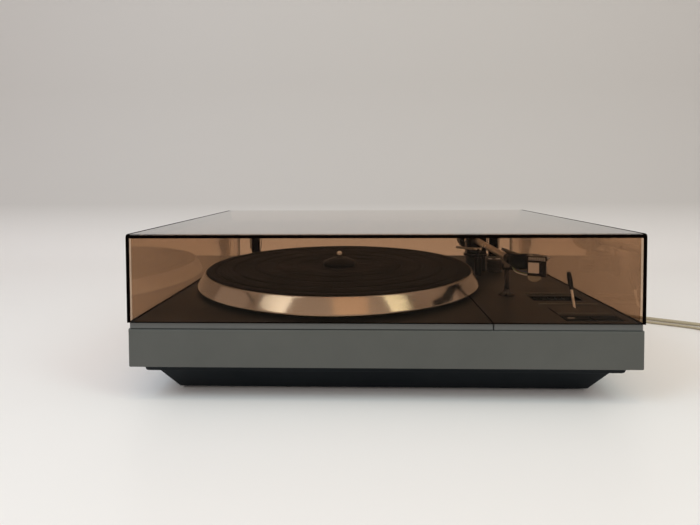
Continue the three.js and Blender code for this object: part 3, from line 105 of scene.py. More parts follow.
class Shade:
    """A material's nodes, made and joined in short calls."""

    def __init__(self, name):
        self.material = bpy.data.materials.new(name)
        self.material.use_nodes = True
        self.tree = self.material.node_tree
        self.shader = self.tree.nodes["Principled BSDF"]
        self.output = self.tree.nodes["Material Output"]
        self.place = self.node("ShaderNodeTexCoord").outputs["Object"]

    def node(self, kind, **settings):
        made = self.tree.nodes.new(kind)
        for key, value in settings.items():
            setattr(made, key, value)
        return made

    def join(self, source, target):
        self.tree.links.new(source, target)

    def noise(self, place, scale, detail=3.0):
        made = self.node("ShaderNodeTexNoise")
        made.inputs["Scale"].default_value = scale
        made.inputs["Detail"].default_value = detail
        made.inputs["Roughness"].default_value = NOISE_ROUGHNESS
        self.join(place, made.inputs["Vector"])
        return made.outputs["Fac"]

    def stretched(self, scale):
        made = self.node("ShaderNodeMapping")
        made.inputs["Scale"].default_value = scale
        self.join(self.place, made.inputs["Vector"])
        return made.outputs["Vector"]

    def round_the_axis(self, along, across):
        """Coordinates that run slowly round the piece's own upright axis and fast across it."""
        split = self.node("ShaderNodeSeparateXYZ")
        self.join(self.place, split.inputs[0])
        angle = self.maths("ARCTAN2", split.outputs["Y"], split.outputs["X"])
        square = self.maths("ADD", self.maths("MULTIPLY", split.outputs["X"], split.outputs["X"]),
                            self.maths("MULTIPLY", split.outputs["Y"], split.outputs["Y"]))
        joined = self.node("ShaderNodeCombineXYZ")
        self.join(self.maths("MULTIPLY", angle, along), joined.inputs["X"])
        self.join(self.maths("MULTIPLY", self.maths("SQRT", square), across), joined.inputs["Y"])
        self.join(self.maths("MULTIPLY", split.outputs["Z"], across), joined.inputs["Z"])
        return joined.outputs[0]

    def maths(self, operation, first, second=None):
        made = self.node("ShaderNodeMath", operation=operation)
        for socket, value in zip(made.inputs, (first, second)):
            if isinstance(value, (int, float)):
                socket.default_value = value
            elif value is not None:
                self.join(value, socket)
        return made.outputs[0]

    def ranged(self, value, low, high, start=0.3, end=0.7):
        """From low to high as the value goes from start to end."""
        made = self.node("ShaderNodeMapRange")
        self.join(value, made.inputs["Value"])
        for key, number in (("From Min", start), ("From Max", end), ("To Min", low), ("To Max", high)):
            made.inputs[key].default_value = number
        return made.outputs[0]

    def mixed(self, share, first, second):
        made = self.node("ShaderNodeMix", data_type="RGBA")
        self.join(share, made.inputs[0])
        for socket, value in ((made.inputs[6], first), (made.inputs[7], second)):
            if isinstance(value, (tuple, list)):
                socket.default_value = (*value[:3], 1)
            else:
                self.join(value, socket)
        return made.outputs[2]

    def bumped(self, height, depth):
        made = self.node("ShaderNodeBump")
        made.inputs["Strength"].default_value = 1.0
        made.inputs["Distance"].default_value = depth
        self.join(height, made.inputs["Height"])
        return made.outputs["Normal"]


def toned(colour, share):
    return tuple(min(value * share, 1) for value in colour)


def surface(name, colour, roughness, metallic=0.0, tone=0.1, speck=1400.0, bump=0.012,
            stretch=(1, 1, 1), smudge=0.06, turned=None, upright=None, specular=0.5, clear=0.0):
    """Fine grain, broad changes in the gloss and, where one is named, another tone on upright faces, partly
    painted light on their lit sides.
    """
    shade = Shade(name)
    base = linear(colour)
    grain_place = shade.stretched(stretch) if turned is None else shade.round_the_axis(*turned)
    grain = shade.noise(grain_place, speck)
    broad = shade.noise(shade.place, BROAD_SCALE)
    fine = shade.mixed(grain, toned(base, 1 - tone), toned(base, 1 + tone))
    wear_and_painted_light = shade.mixed(shade.ranged(broad, 0.0, WORN_SHARE), fine, toned(base, 1 - tone * WORN_TONE))
    # Upright faces take the named tone: partly painted light, which makes lit upright walls lighter than
    # level faces
    if upright:
        split = shade.node("ShaderNodeSeparateXYZ")
        shade.join(shade.node("ShaderNodeTexCoord").outputs["Normal"], split.inputs[0])
        flatness = shade.maths("ABSOLUTE", split.outputs["Z"])
        level = shade.ranged(flatness, 0.0, 1.0, UPRIGHT_END, LEVEL_START)
        wear_and_painted_light = shade.mixed(level, linear(upright), wear_and_painted_light)
    shade.join(wear_and_painted_light, shade.shader.inputs["Base Color"])
    shade.join(shade.ranged(broad, roughness - smudge, roughness + smudge), shade.shader.inputs["Roughness"])
    shade.join(shade.bumped(grain, bump * MM), shade.shader.inputs["Normal"])
    shade.shader.inputs["Metallic"].default_value = metallic
    shade.shader.inputs["Specular IOR Level"].default_value = specular
    shade.shader.inputs["Transmission Weight"].default_value = clear
    return shade


def finish(*values, **options):
    return surface(*values, **options).material


# Dust: cells to the metre, a speck's reach in its cell, the share of clean cells and the specks' colour
DUST_CELLS, DUST_REACH, DUST_CLEAN, DUST_COLOUR = 95.0, 0.075, 0.95, (150, 145, 138)


def dusty_rubber(name, colour, roughness):
    """Matt rubber with a few pale specks of dust."""
    shade = surface(name, colour, roughness, speck=500, bump=0.003, tone=0.12, specular=0.2)
    cells = shade.node("ShaderNodeTexVoronoi")
    cells.inputs["Scale"].default_value = DUST_CELLS
    shade.join(shade.place, cells.inputs["Vector"])
    split = shade.node("ShaderNodeSeparateColor")
    shade.join(cells.outputs["Color"], split.inputs[0])
    near = shade.maths("LESS_THAN", cells.outputs["Distance"], DUST_REACH)
    chosen = shade.maths("GREATER_THAN", split.outputs[0], DUST_CLEAN)
    clean = shade.shader.inputs["Base Color"].links[0].from_socket
    dusty = shade.mixed(shade.maths("MULTIPLY", near, chosen), clean, linear(DUST_COLOUR))
    shade.join(dusty, shade.shader.inputs["Base Color"])
    return shade.material


# Tinted acrylic: light through one surface is tinted, more so at a glancing angle, and the rest is reflected
SURFACE_TINT = (0.808, 0.706, 0.613)
GLANCING_TINT = (0.70, 0.585, 0.48)
GLARE_POWER, GLARE_GAIN, GLARE_FLOOR = 3.0, 1.07, 0.004
SCRATCH_STRETCH, SCRATCH_SCALE, SCRATCH_DETAIL, SCRATCH_ROUGHNESS = (0.25, 1, 1), 420.0, 4.0, (0.02, 0.07)
WAVE_SCALE, WAVE_DETAIL, WAVE_DEPTH = 26.0, 1.0, 0.05


def tinted_acrylic(name):
    """A surface that tints what passes through it, with fine scratches and slow waves in its gloss."""
    shade = Shade(name)
    shade.tree.nodes.remove(shade.shader)
    facing = shade.node("ShaderNodeLayerWeight")
    facing.inputs["Blend"].default_value = 0.5
    through = shade.node("ShaderNodeBsdfTransparent")
    tint = shade.mixed(facing.outputs["Facing"], SURFACE_TINT, GLANCING_TINT)
    shade.join(tint, through.inputs["Color"])
    gloss = shade.node("ShaderNodeBsdfGlossy")
    gloss.inputs["Color"].default_value = (1, 1, 1, 1)
    scratch = shade.noise(shade.stretched(SCRATCH_STRETCH), SCRATCH_SCALE, SCRATCH_DETAIL)
    shade.join(shade.ranged(scratch, *SCRATCH_ROUGHNESS), gloss.inputs["Roughness"])
    wave = shade.noise(shade.place, WAVE_SCALE, WAVE_DETAIL)
    shade.join(shade.bumped(wave, WAVE_DEPTH * MM), gloss.inputs["Normal"])
    glancing = shade.maths("POWER", facing.outputs["Facing"], GLARE_POWER)
    share = shade.maths("ADD", shade.maths("MULTIPLY", glancing, GLARE_GAIN), GLARE_FLOOR)
    mix = shade.node("ShaderNodeMixShader")
    shade.join(share, mix.inputs[0])
    shade.join(through.outputs[0], mix.inputs[1])
    shade.join(gloss.outputs[0], mix.inputs[2])
    shade.join(mix.outputs[0], shade.output.inputs["Surface"])
    return shade.material


looks = {}


def coat(name, *values, make=finish, **options):
    looks[name] = make(name, *values, **options)


coat("base_black", (11, 17, 21), 0.58, bump=0.02, speck=1800, specular=0.12)
coat("plinth_grey", (82, 82, 77), 0.5, 0.25, bump=0.01, speck=2600, tone=0.14)
# The deck's upright faces are a lighter grey: its grey edges, and painted light on the lit walls of its
# troughs
coat("deck_black", (41, 42, 42), 0.42, 0.25, stretch=(0.03, 1, 1), speck=1500, tone=0.2, bump=0.002,
     upright=(95, 95, 92), specular=0.3)
coat("smoked_cover", make=tinted_acrylic)
# Near-black without gloss: painted shade on the cover's cut edges
coat("cover_edge_shade", (7, 4, 3), 0.3, tone=0.15, bump=0.003, smudge=0.04, specular=0.0)
coat("polished_steel", (205, 206, 208), 0.16, 1.0, tone=0.04, bump=0.002, smudge=0.05)
coat("turned_aluminium", (208, 214, 219), 0.14, 1.0, tone=0.04, bump=0.0, turned=(0.012, 6.0),
     speck=60, smudge=0.02)
coat("dark_aluminium", (30, 31, 33), 0.36, 0.5, bump=0.006, speck=2600)
coat("weight_black", (27, 29, 31), 0.38, 0.2, bump=0.01, speck=2200)
coat("mat_rubber", (13, 12, 11), 0.7, make=dusty_rubber)
coat("soft_rubber", (30, 30, 31), 0.68, bump=0.02, speck=1600)
coat("grey_plastic", (128, 130, 130), 0.45, bump=0.01)
coat("stamped_iron", (92, 88, 82), 0.5, 0.7, stretch=(1, 18, 1), speck=160, tone=0.3, bump=0.05)
coat("board_green", (62, 92, 60), 0.5, tone=0.22, speck=260, bump=0.01)
coat("guard_clear", (176, 172, 160), 0.25, bump=0.004, clear=0.35)
coat("cord_beige", (172, 158, 132), 0.42, bump=0.012, speck=900)
coat("control_black", (17, 17, 19), 0.34, bump=0.008, speck=2400, specular=0.2)
coat("bright_aluminium", (214, 208, 198), 0.3, 1.0, stretch=(1, 0.04, 1), speck=2400, tone=0.06, bump=0.003)
coat("pale_print", (196, 196, 190), 0.5, tone=0.05, bump=0.004)
coat("head_grey", (172, 172, 174), 0.4, 0.4, tone=0.1, bump=0.004)
coat("dark_steel", (66, 66, 68), 0.22, 1.0, tone=0.05, bump=0.001, smudge=0.03)
coat("adapter_black", (12, 11, 10), 0.45, bump=0.004, speck=900, specular=0.2)
coat("key_dark", (38, 38, 39), 0.5, bump=0.004, speck=1800, specular=0.0)
# Near-black without gloss: painted shade in the troughs, in the deck's joint and at the key's recess edge
coat("painted_shade_black", (7, 7, 7), 0.6, bump=0.004, speck=900, specular=0.0)
coat("dial_grey", (52, 51, 53), 0.45, bump=0.006, speck=1800, specular=0.3)
# Pale grey: painted highlights behind the troughs, and a line on the deck
coat("deck_line_and_painted_highlight", (112, 113, 109), 0.5, 0.2, tone=0.1, bump=0.003)
coat("cue_white", (248, 248, 246), 0.3, 0.3, tone=0.03, bump=0.002, smudge=0.03)
coat("panel_white", (208, 205, 204), 0.5, tone=0.05, bump=0.003)
WIRES = {"white": (226, 224, 220), "red": (160, 70, 62), "green": (104, 130, 104), "blue": (92, 104, 146)}
for wire, colour in WIRES.items():
    coat(f"wire_{wire}", colour, 0.4, tone=0.06, bump=0.004)


# Meshes
# From how many degrees an edge is sharp, or gets rounded, and up to how many it is a seam in a flat face
SHARP_ANGLE, ROUNDED_ANGLE, SEAM_ANGLE = 34.0, 28.0, 0.6
# The most that a round corner takes of the stretches beside it
CORNER_SHARE = 0.45
SAME_POINT = 1e-6


def dressed(obj, body, slot, look, *replaced):
    """Puts a new piece on its body, with its finish, in place of the named nodes. Its slot is not used."""
    obj.data.materials.append(looks[look])
    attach(obj, body)
    if replaced:
        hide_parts(*replaced)
    return obj


def object_of(name, work):
    """An object with a worked mesh, smooth apart from its sharp edges."""
    mesh = bpy.data.meshes.new(name)
    work.to_mesh(mesh)
    work.free()
    if "custom_normal" in mesh.attributes:
        mesh.attributes.remove(mesh.attributes["custom_normal"])
    mesh.polygons.foreach_set("use_smooth", [True] * len(mesh.polygons))
    mesh.set_sharp_from_angle(angle=math.radians(SHARP_ANGLE))
    mesh.update()
    obj = bpy.data.objects.new(name, mesh)
    scene.collection.objects.link(obj)
    return obj


def object_from(name, verts, faces, origin=(0, 0, 0)):
    """An object whose points are in millimetres from its own origin, with every face turned outwards."""
    plain = bpy.data.meshes.new(f"{name}_plain")
    plain.from_pydata([metres(point) for point in verts], [], faces)
    work = bmesh.new()
    work.from_mesh(plain)
    bpy.data.meshes.remove(plain)
    bmesh.ops.recalc_face_normals(work, faces=work.faces)
    obj = object_of(name, work)
    obj.location = metres(origin)
    return obj


def softened(profile, reach, steps, closed):
    """Rounds a profile's corners with short curves, apart from points on the axis."""
    points = []
    last = len(profile) - 1
    for index, point in enumerate(profile):
        here = Vector(point)
        if here.x == 0 or (not closed and index in (0, last)):
            points.append(here)
            continue
        before = Vector(profile[index - 1]) - here
        after = Vector(profile[(index + 1) % len(profile)]) - here
        start = here + before.normalized() * min(reach, before.length * CORNER_SHARE)
        end = here + after.normalized() * min(reach, after.length * CORNER_SHARE)
        for step in range(steps + 1):
            share = step / steps
            points.append(start * (1 - share) ** 2 + here * 2 * share * (1 - share) + end * share ** 2)
    return points


UP_AXIS = Matrix.Identity(3)
FRONT_AXIS = Matrix(((1, 0, 0), (0, 0, -1), (0, 1, 0)))
RIGHT_AXIS = Matrix(((0, 0, 1), (0, 1, 0), (-1, 0, 0)))
LEFT_AXIS = Matrix(((0, 0, -1), (0, 1, 0), (1, 0, 0)))


def lathed(name, profile, origin, soft=0.4, sides=96, axis=UP_AXIS, knurl=None, steps=3):
    """A solid turned from radius and height pairs. A knurl is (from height, to height, count, depth)."""
    closed = profile[0][0] != 0 or profile[-1][0] != 0
    points = softened(profile, soft, steps, closed)
    low_knurl, high_knurl, count, depth = knurl or (0, 0, 1, 0)
    tooth = sides // count
    verts, rings = [], []
    for radius, height in points:
        if radius == 0:
            rings.append([len(verts)])
            verts.append(axis @ Vector((0, 0, height)))
            continue
        rings.append(list(range(len(verts), len(verts) + sides)))
        for side in range(sides):
            turned = TURN * side / sides
            reach = radius
            if knurl and low_knurl <= height <= high_knurl:
                reach -= depth * (side % tooth) / (tooth - 1)
            verts.append(axis @ Vector((reach * math.cos(turned), reach * math.sin(turned), height)))
    faces = []
    pairs = list(zip(rings, rings[1:])) + ([(rings[-1], rings[0])] if closed else [])
    for low, high in pairs:
        for side in range(sides):
            after = (side + 1) % sides
            if len(low) == 1 and len(high) == 1:
                break
            if len(low) == 1:
                faces.append((low[0], high[after], high[side]))
            elif len(high) == 1:
                faces.append((low[side], low[after], high[0]))
            else:
                faces.append((low[side], low[after], high[after], high[side]))
    return object_from(name, verts, faces, origin)


def tube_faces(rings, sides):
    """The faces of a tube with closed ends, whose points come in rings of one count."""
    faces = []
    for ring in range(rings - 1):
        here, there = ring * sides, (ring + 1) * sides
        for side in range(sides):
            after = (side + 1) % sides
            faces.append((here + side, here + after, there + after, there + side))
    return faces + [tuple(range(sides)), tuple(range((rings - 1) * sides, rings * sides))]


def outline_solid(name, outline, low, high, origin, turned=UP_AXIS, bevel=0.3, segments=2, fall=0.0):
    """A flat outline raised from low to high, turned, with rounded edges. Its top may fall with y."""
    count = len(outline)
    verts = [turned @ Vector((x, y, low)) for x, y in outline]
    verts += [turned @ Vector((x, y, high - fall * y)) for x, y in outline]
    faces = [tuple(range(count)), tuple(range(count, count * 2))]
    faces += [(k, (k + 1) % count, count + (k + 1) % count, count + k) for k in range(count)]
    obj = object_from(name, verts, faces, origin)
    return bevelled(obj, bevel, segments)


def rectangle(left, right, front, rear):
    return [(left, front), (right, front), (right, rear), (left, rear)]


def bevelled(obj, width, segments=3, angle=ROUNDED_ANGLE):
    rounded = obj.modifiers.new("rounded", "BEVEL")
    rounded.width = width * MM
    rounded.segments = segments
    rounded.limit_method = "ANGLE"
    rounded.angle_limit = math.radians(angle)
    rounded.harden_normals = True
    return obj


def merged_copy(node):
    """A node's own mesh with its triangles merged into flat faces."""
    work = bmesh.new()
    work.from_mesh(nodes[node].data)
    bmesh.ops.remove_doubles(work, verts=work.verts, dist=SAME_POINT)
    bmesh.ops.dissolve_limit(work, angle_limit=math.radians(SEAM_ANGLE), verts=work.verts, edges=work.edges)
    return work


def refined(node, bevel, look=None, angle=ROUNDED_ANGLE, segments=3):
    """A copy of a node with its edges rounded, in place of the plain one."""
    obj = bevelled(object_of(f"{node}_form", merged_copy(node)), bevel, segments, angle)
    return dressed(obj, body_of[node], slot_of[node], look or slot_of[node], node)


def turned_node(node, profile, origin, look=None, **options):
    """A turned piece in place of a node."""
    obj = lathed(f"{node}_form", profile, origin, **options)
    dressed(obj, body_of[node], slot_of[node], look or slot_of[node], node)


def screw(name, profile, place, body, **options):
    """A bright screw's head on a body."""
    head = lathed(name, profile, place, **options)
    dressed(head, body, "polished_steel", "polished_steel")


# Leads: their routes, as in the part, and the coils that end them
# The y of the part's source is the frame's y plus this
REAR_SHIFT = 178.0
MAINS = {
    "name": "mains", "radius": 2.1, "coil": (462.0, 180.0), "heading": -32.0, "coil_radius": 34.0,
    "turns_in": 2.5, "turns_out": 2.25, "tail": 46.0, "end_height": 6.9,
    "route": [
        (118, 371.6, 42), (118, 377, 42), (119, 388, 40), (124, 402, 32), (136, 416, 18),
        (154, 425, 7.5), (176, 428, 3), (200, 424, 2.3), (224, 412, 2.3), (247, 390, 2.3),
        (267, 358, 2.3), (288, 318, 2.3), (311, 284, 2.3), (336, 256, 2.3), (362, 240, 2.3),
        (388, 226.4, 2.3), (413, 213, 2.3), (434, 198.6, 2.6), (449, 188.1, 3.3), (457, 183.1, 3.7),
        (461.7, 180.2, 3.8),
    ],
}
SIGNAL = {
    "name": "signal", "radius": 1.6, "coil": (404.0, 120.0), "heading": -88.0, "coil_radius": 24.0,
    "turns_in": 2.0, "turns_out": 1.75, "tail": 40.0, "end_height": 7.4,
    "route": [
        (146, 371.6, 42), (146, 376, 42), (147.5, 386, 39), (153, 398, 29), (163, 406, 15),
        (178, 410, 5), (196, 408, 1.9), (216, 397, 1.8), (234, 374, 1.8), (252, 343, 1.8),
        (272, 306, 1.8), (297, 272, 1.8), (325, 245, 1.8), (353, 227, 1.8), (378, 214.5, 1.8),
        (397, 202, 1.9), (405.5, 187, 2.1), (407, 168, 2.4), (405, 148, 2.8), (403.7, 133, 3.2),
        (403.99, 120.3, 3.3),
    ],
}
COIL_GAP = 0.55
COIL_LIFT = 1.7
COIL_STEPS = 36
CLIMB_TURNS = 0.5
TAIL_STEPS = 8
ROUTE_STEPS = 8
CORD_ROUNDNESS = 4


def along_route(points, steps):
    """Points on the centripetal curve through a route."""
    ends = [points[0] * 2 - points[1], *points, points[-1] * 2 - points[-2]]
    curve = [points[0]]
    for before, start, end, after in zip(ends, ends[1:], ends[2:], ends[3:]):
        stretches = ((before, start), (start, end), (end, after))
        gaps = [max((b - a).length ** 0.5, SAME_POINT) for a, b in stretches]
        leave = (start - before) / gaps[0] - (end - before) / (gaps[0] + gaps[1]) + (end - start) / gaps[1]
        arrive = (end - start) / gaps[1] - (after - start) / (gaps[1] + gaps[2]) + (after - end) / gaps[2]
        leave, arrive = leave * gaps[1], arrive * gaps[1]
        for step in range(1, steps + 1):
            t = step / steps
            curve.append(
                start + leave * t + (end * 3 - start * 3 - leave * 2 - arrive) * t ** 2
                + (start * 2 - end * 2 + leave + arrive) * t ** 3
            )
    return curve


def slow_ends(height, share):
    """The part of a height reached at a share of its length, level at both ends."""
    return height * share * share * (3 - 2 * share)


def coil_line(lead):
    """The centre line of a coil: in along the lower layer, up in half a turn, out along the upper layer."""
    pitch = lead["radius"] * 2 + COIL_GAP
    low = lead["radius"] + COIL_LIFT
    heading = math.radians(lead["heading"])
    forward = Vector((math.cos(heading), math.sin(heading), 0))
    begin = Vector((*lead["coil"], low))
    start = begin + forward * lead["radius"] * 2
    centre = start + Vector((-forward.y, forward.x, 0)) * lead["coil_radius"]
    first = heading - TURN / 4
    inner = lead["coil_radius"] - pitch * lead["turns_in"]
    total = lead["turns_in"] + CLIMB_TURNS + lead["turns_out"]
    line = [begin]
    for step in range(int(total * COIL_STEPS) + 1):
        turns = step / COIL_STEPS
        climb = min(max(turns - lead["turns_in"], 0), CLIMB_TURNS)
        out = max(turns - lead["turns_in"] - CLIMB_TURNS, 0)
        reach = lead["coil_radius"] - pitch * turns
        if turns > lead["turns_in"]:
            reach = inner - pitch * climb + pitch * climb * climb / CLIMB_TURNS + pitch * out
        angle = first + TURN * turns
        height = low + slow_ends(pitch, climb / CLIMB_TURNS)
        line.append(Vector((centre.x + reach * math.cos(angle), centre.y + reach * math.sin(angle), height)))
    leaving = first + TURN * total + TURN / 4
    away = Vector((math.cos(leaving), math.sin(leaving), 0))
    last = line[-1].copy()
    for step in range(1, TAIL_STEPS + 1):
        share = min(step / (TAIL_STEPS - 1), 1)
        point = last + away * lead["tail"] * step / TAIL_STEPS
        point.z = last.z + slow_ends(lead["end_height"] - last.z, share)
        line.append(point)
    return line


def in_frame(points):
    return [metres((point.x, point.y - REAR_SHIFT, point.z)) for point in points]


def lead_curve(lead):
    """One lead from its strain relief to its plug, as a round curve."""
    line = in_frame(along_route([Vector(point) for point in lead["route"]], ROUTE_STEPS) + coil_line(lead))
    curve = bpy.data.curves.new(f"{lead['name']}_cord", "CURVE")
    curve.dimensions = "3D"
    curve.bevel_depth = lead["radius"] * MM
    curve.bevel_resolution = CORD_ROUNDNESS
    curve.use_fill_caps = True
    spline = curve.splines.new("POLY")
    spline.points.add(len(line) - 1)
    for point, place in zip(spline.points, line):
        point.co = (*place, 1)
    spline.use_smooth = True
    obj = bpy.data.objects.new(curve.name, curve)
    scene.collection.objects.link(obj)
    dressed(obj, "cabinet", "cord_beige", "cord_beige", f"{lead['name']}_lead", f"{lead['name']}_coil")
    return obj, line


for lead in (MAINS, SIGNAL):
    label = lead["name"]
    cord, line = lead_curve(lead)
    length = sum((b - a).length for a, b in zip(line, line[1:]))
    helpers = [
        refined(f"{label}_strain_relief", 0.25, "soft_rubber", angle=20.0),
        refined(f"{label}_tie", 0.3, "soft_rubber"),
        refined(f"{label}_plug", 0.6, "control_black", angle=40.0),
    ]
    print(f"{label} lead {length:.3f} m")


# Cabinet
DECK_TOP = 68.7
# A trough's floor, painted near-black as shade in its recess, faces up at least this much and lies at least
# this far below the deck
TROUGH_LEVEL, TROUGH_BELOW = 0.9, 0.5
refined("base_pan", 0.5)
for corner in ("front_left", "front_right", "rear_left", "rear_right"):
    refined(f"foot_{corner}", 0.3, angle=40.0)
refined("plinth_frame", 0.45)
refined("deck_main", 0.5)
control_form = refined("deck_control", 0.35)
# The troughs' floors get the painted shade
control_form.data.materials.append(looks["painted_shade_black"])
for face in control_form.data.polygons:
    if face.normal.z > TROUGH_LEVEL and face.center.z < (DECK_TOP - TROUGH_BELOW) * MM:
        face.material_index = 1


def raised_bar(name, place, size, body, slot, look):
    """A low flat bar on an upward face, from the middle of its underside and its width, depth and height."""
    width, depth, height = size
    outline = rectangle(-width / 2, width / 2, -depth / 2, depth / 2)
    obj = outline_solid(name, outline, 0, height, place, bevel=BAR_BEVEL)
    dressed(obj, body, slot, look)


# Light bars on the deck: the rear and front ones, behind the two troughs, are painted highlights for their
# lit rear walls, and the middle one is a line on the deck. Dark bars at the joint between its plates and at
# the edge of the key's recess are painted shade.
BAR_BEVEL = 0.1
BAR_LOW = DECK_TOP - 0.1
LINE_DEPTH, LINE_HEIGHT = 1.4, 1.0
DECK_LINES = (("rear", 174.5, -73.4, 46), ("middle", 178, -114.5, 55), ("front", 178.5, -146.6, 46))
for line, line_x, line_y, length in DECK_LINES:
    size = (length, LINE_DEPTH, LINE_HEIGHT)
    raised_bar(f"{line}_deck_line_and_painted_highlight", (line_x, line_y, BAR_LOW), size, "cabinet", "deck_black", "deck_line_and_painted_highlight")
# A dark bar over the joint between the deck's plates, and one at the recess edge: painted shade
joint_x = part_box("deck_control")[0][0] / MM - 0.15
raised_bar("deck_joint", (joint_x, -3, BAR_LOW), (1.2, 340, 0.25), "cabinet", "deck_black", "painted_shade_black")
raised_bar("recess_edge", (154.6, -137.6, BAR_LOW), (1.3, 20.4, 0.3), "cabinet", "deck_black",
           "painted_shade_black")

# Platter, mat and what stands on them, turned about the spindle
AXIS = (-44.2, -10.4)
PLATTER_Z = DECK_TOP + 3.5
MAT_Z = PLATTER_Z + 12.3
ADAPTER_Z = MAT_Z + 2.0
turned_node("platter", [
    (4.0, 8.3), (146, 8.3), (148.6, 5.7), (154.5, 0), (160, 0), (160, 1.6), (152.6, 14.2), (151.8, 15),
    (150.6, 15), (150.6, 12), (4.0, 12),
], (*AXIS, PLATTER_Z), soft=0.5, sides=240)

# The mat: fine ribs from its rim to the record's label, broken by four wider grooves
MAT_BORE, MAT_RADIUS, MAT_TOP = 4.4, 150.0, 3.5
RIB_START, RIB_END, RIB_PITCH, RIB_HALF, RIB_DEPTH = 3.4, 52.5, 4.1, 0.9, 0.25
GROOVES = [share * MAT_RADIUS for share in (0.93, 0.8, 0.64, 0.48)]
GROOVE_CLEAR, GROOVE_TOP, GROOVE_FLOOR, GROOVE_DEPTH = 3.2, 1.9, 1.1, 1.1
LABEL_RADIUS, LABEL_FLOOR, LABEL_DEPTH = 50, 47.8, 0.9
WELL_RADIUS, WELL_DEPTH = 21, 1.8
mat_profile = [(MAT_BORE, 0), (MAT_RADIUS, 0), (MAT_RADIUS, MAT_TOP - 0.5), (MAT_RADIUS - 0.7, MAT_TOP)]
reach = MAT_RADIUS - RIB_START
while reach > RIB_END:
    if all(abs(reach - groove) > GROOVE_CLEAR for groove in GROOVES):
        rib = [(reach + RIB_HALF, MAT_TOP), (reach, MAT_TOP - RIB_DEPTH), (reach - RIB_HALF, MAT_TOP)]
        mat_profile += rib
    for groove in GROOVES:
        if abs(reach - groove) <= RIB_PITCH / 2:
            mat_profile += [
                (groove + GROOVE_TOP, MAT_TOP), (groove + GROOVE_FLOOR, MAT_TOP - GROOVE_DEPTH),
                (groove - GROOVE_FLOOR, MAT_TOP - GROOVE_DEPTH), (groove - GROOVE_TOP, MAT_TOP),
            ]
    reach -= RIB_PITCH
mat_profile += [
    (LABEL_RADIUS, MAT_TOP), (LABEL_FLOOR, MAT_TOP - LABEL_DEPTH), (WELL_RADIUS, MAT_TOP - LABEL_DEPTH),
    (WELL_RADIUS, MAT_TOP - WELL_DEPTH), (MAT_BORE, MAT_TOP - WELL_DEPTH),
]
turned_node("platter_mat", mat_profile, (*AXIS, MAT_Z), soft=0.12, sides=160, steps=1)

turned_node("single_adapter", [
    (4.0, 0), (19.4, 0), (19.4, 3.8), (18.4, 5.2), (13, 7.8), (8, 9.4), (4.9, 9.9), (4.0, 9.2),
], (*AXIS, ADAPTER_Z), "adapter_black", soft=0.6)
turned_node("spindle_shaft", [
    (0, -29.4), (3.6, -29.4), (3.6, 30.5), (3.4, 33.2), (2.4, 34.6), (0, 35),
], (*AXIS, DECK_TOP), soft=0.9, sides=48)

# Drive under the deck, carried over with its own finishes
for hidden in ("sub_platter", "bearing_housing", "drive_belt", "motor_pulley", "motor_bracket", "motor_can",
               "transformer", "control_board"):
    nodes[hidden].data.materials.clear()
    nodes[hidden].data.materials.append(looks[slot_of[hidden]])

# Keys
for key in ("key_33", "key_45", "key_slower", "key_faster", "key_cue"):
    refined(key, 0.45, "key_dark")
for key in ("key_start", "key_stop"):
    refined(key, 0.5, "key_dark")
key_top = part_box("key_start")[1][2] / MM
raised_bar("start_mark", (162, -158.2, key_top - 0.05), (6, 1.3, 0.3), body_of["key_start"], "control_black",
           "pale_print")

# Tonearm
PIVOT = Vector((131.0, 54.0, 107.5))
PIVOT_SCREW_OUT = 12.6
turned_node("arm_base", [
    (0, -9), (8.5, -9), (8.5, 0.3), (13, 0.3), (13, 3.2), (12.4, 3.7), (13, 4.2), (13, 18.2), (12.2, 19.3),
    (15.2, 19.3), (15.2, 21.8), (3.4, 21.8), (3.4, 11.3), (0, 11.3),
], (PIVOT.x, PIVOT.y, DECK_TOP), soft=0.5)
refined("gimbal_yoke", 0.7)
refined("pivot_block", 0.7, angle=35.0)
for label, side, axis in (("left", -1, LEFT_AXIS), ("right", 1, RIGHT_AXIS)):
    screw(f"pivot_screw_{label}", [
        (0, 0), (2.6, 0), (2.6, 1.2), (2.1, 1.6), (0.9, 1.6), (0.7, 1.2), (0, 1.2),
    ], PIVOT + Vector((side * PIVOT_SCREW_OUT, 0, 0)), "gimbal", soft=0.2, sides=32, axis=axis)

TUBE_FROM, TUBE_TO = 8.3, 148.0
arm_tube = lathed("arm_tube_form", [
    (3.6, TUBE_FROM), (4.4, TUBE_FROM), (4.3, TUBE_FROM + 2), (3.1, TUBE_TO), (2.3, TUBE_TO),
], PIVOT, soft=0.25, sides=64, axis=FRONT_AXIS)
dressed(arm_tube, "arm", slot_of["arm_tube"], "bright_aluminium", "arm_tube")
collar = lathed("arm_collar", [
    (3.0, 133.0), (3.5, 133.0), (3.6, 133.4), (3.6, 138.7), (4.9, 139.5), (4.9, 140.4), (4.9, 141.2),
    (4.9, 147.8), (4.9, 148.6), (4.9, 149.2), (4.1, 150), (3.0, 150),
], PIVOT, soft=0.2, axis=FRONT_AXIS, knurl=(140.9, 148.1, 32, 0.3))
dressed(collar, "arm", "dark_aluminium", "control_black")
# A pale block on the top of the collar: a painted highlight for the light caught there
collar_glint = outline_solid("collar_painted_highlight", rectangle(-2.4, 2.6, -149, -142), 4.2, 5.6, PIVOT, bevel=0.5)
dressed(collar_glint, "arm", "turned_aluminium", "head_grey")

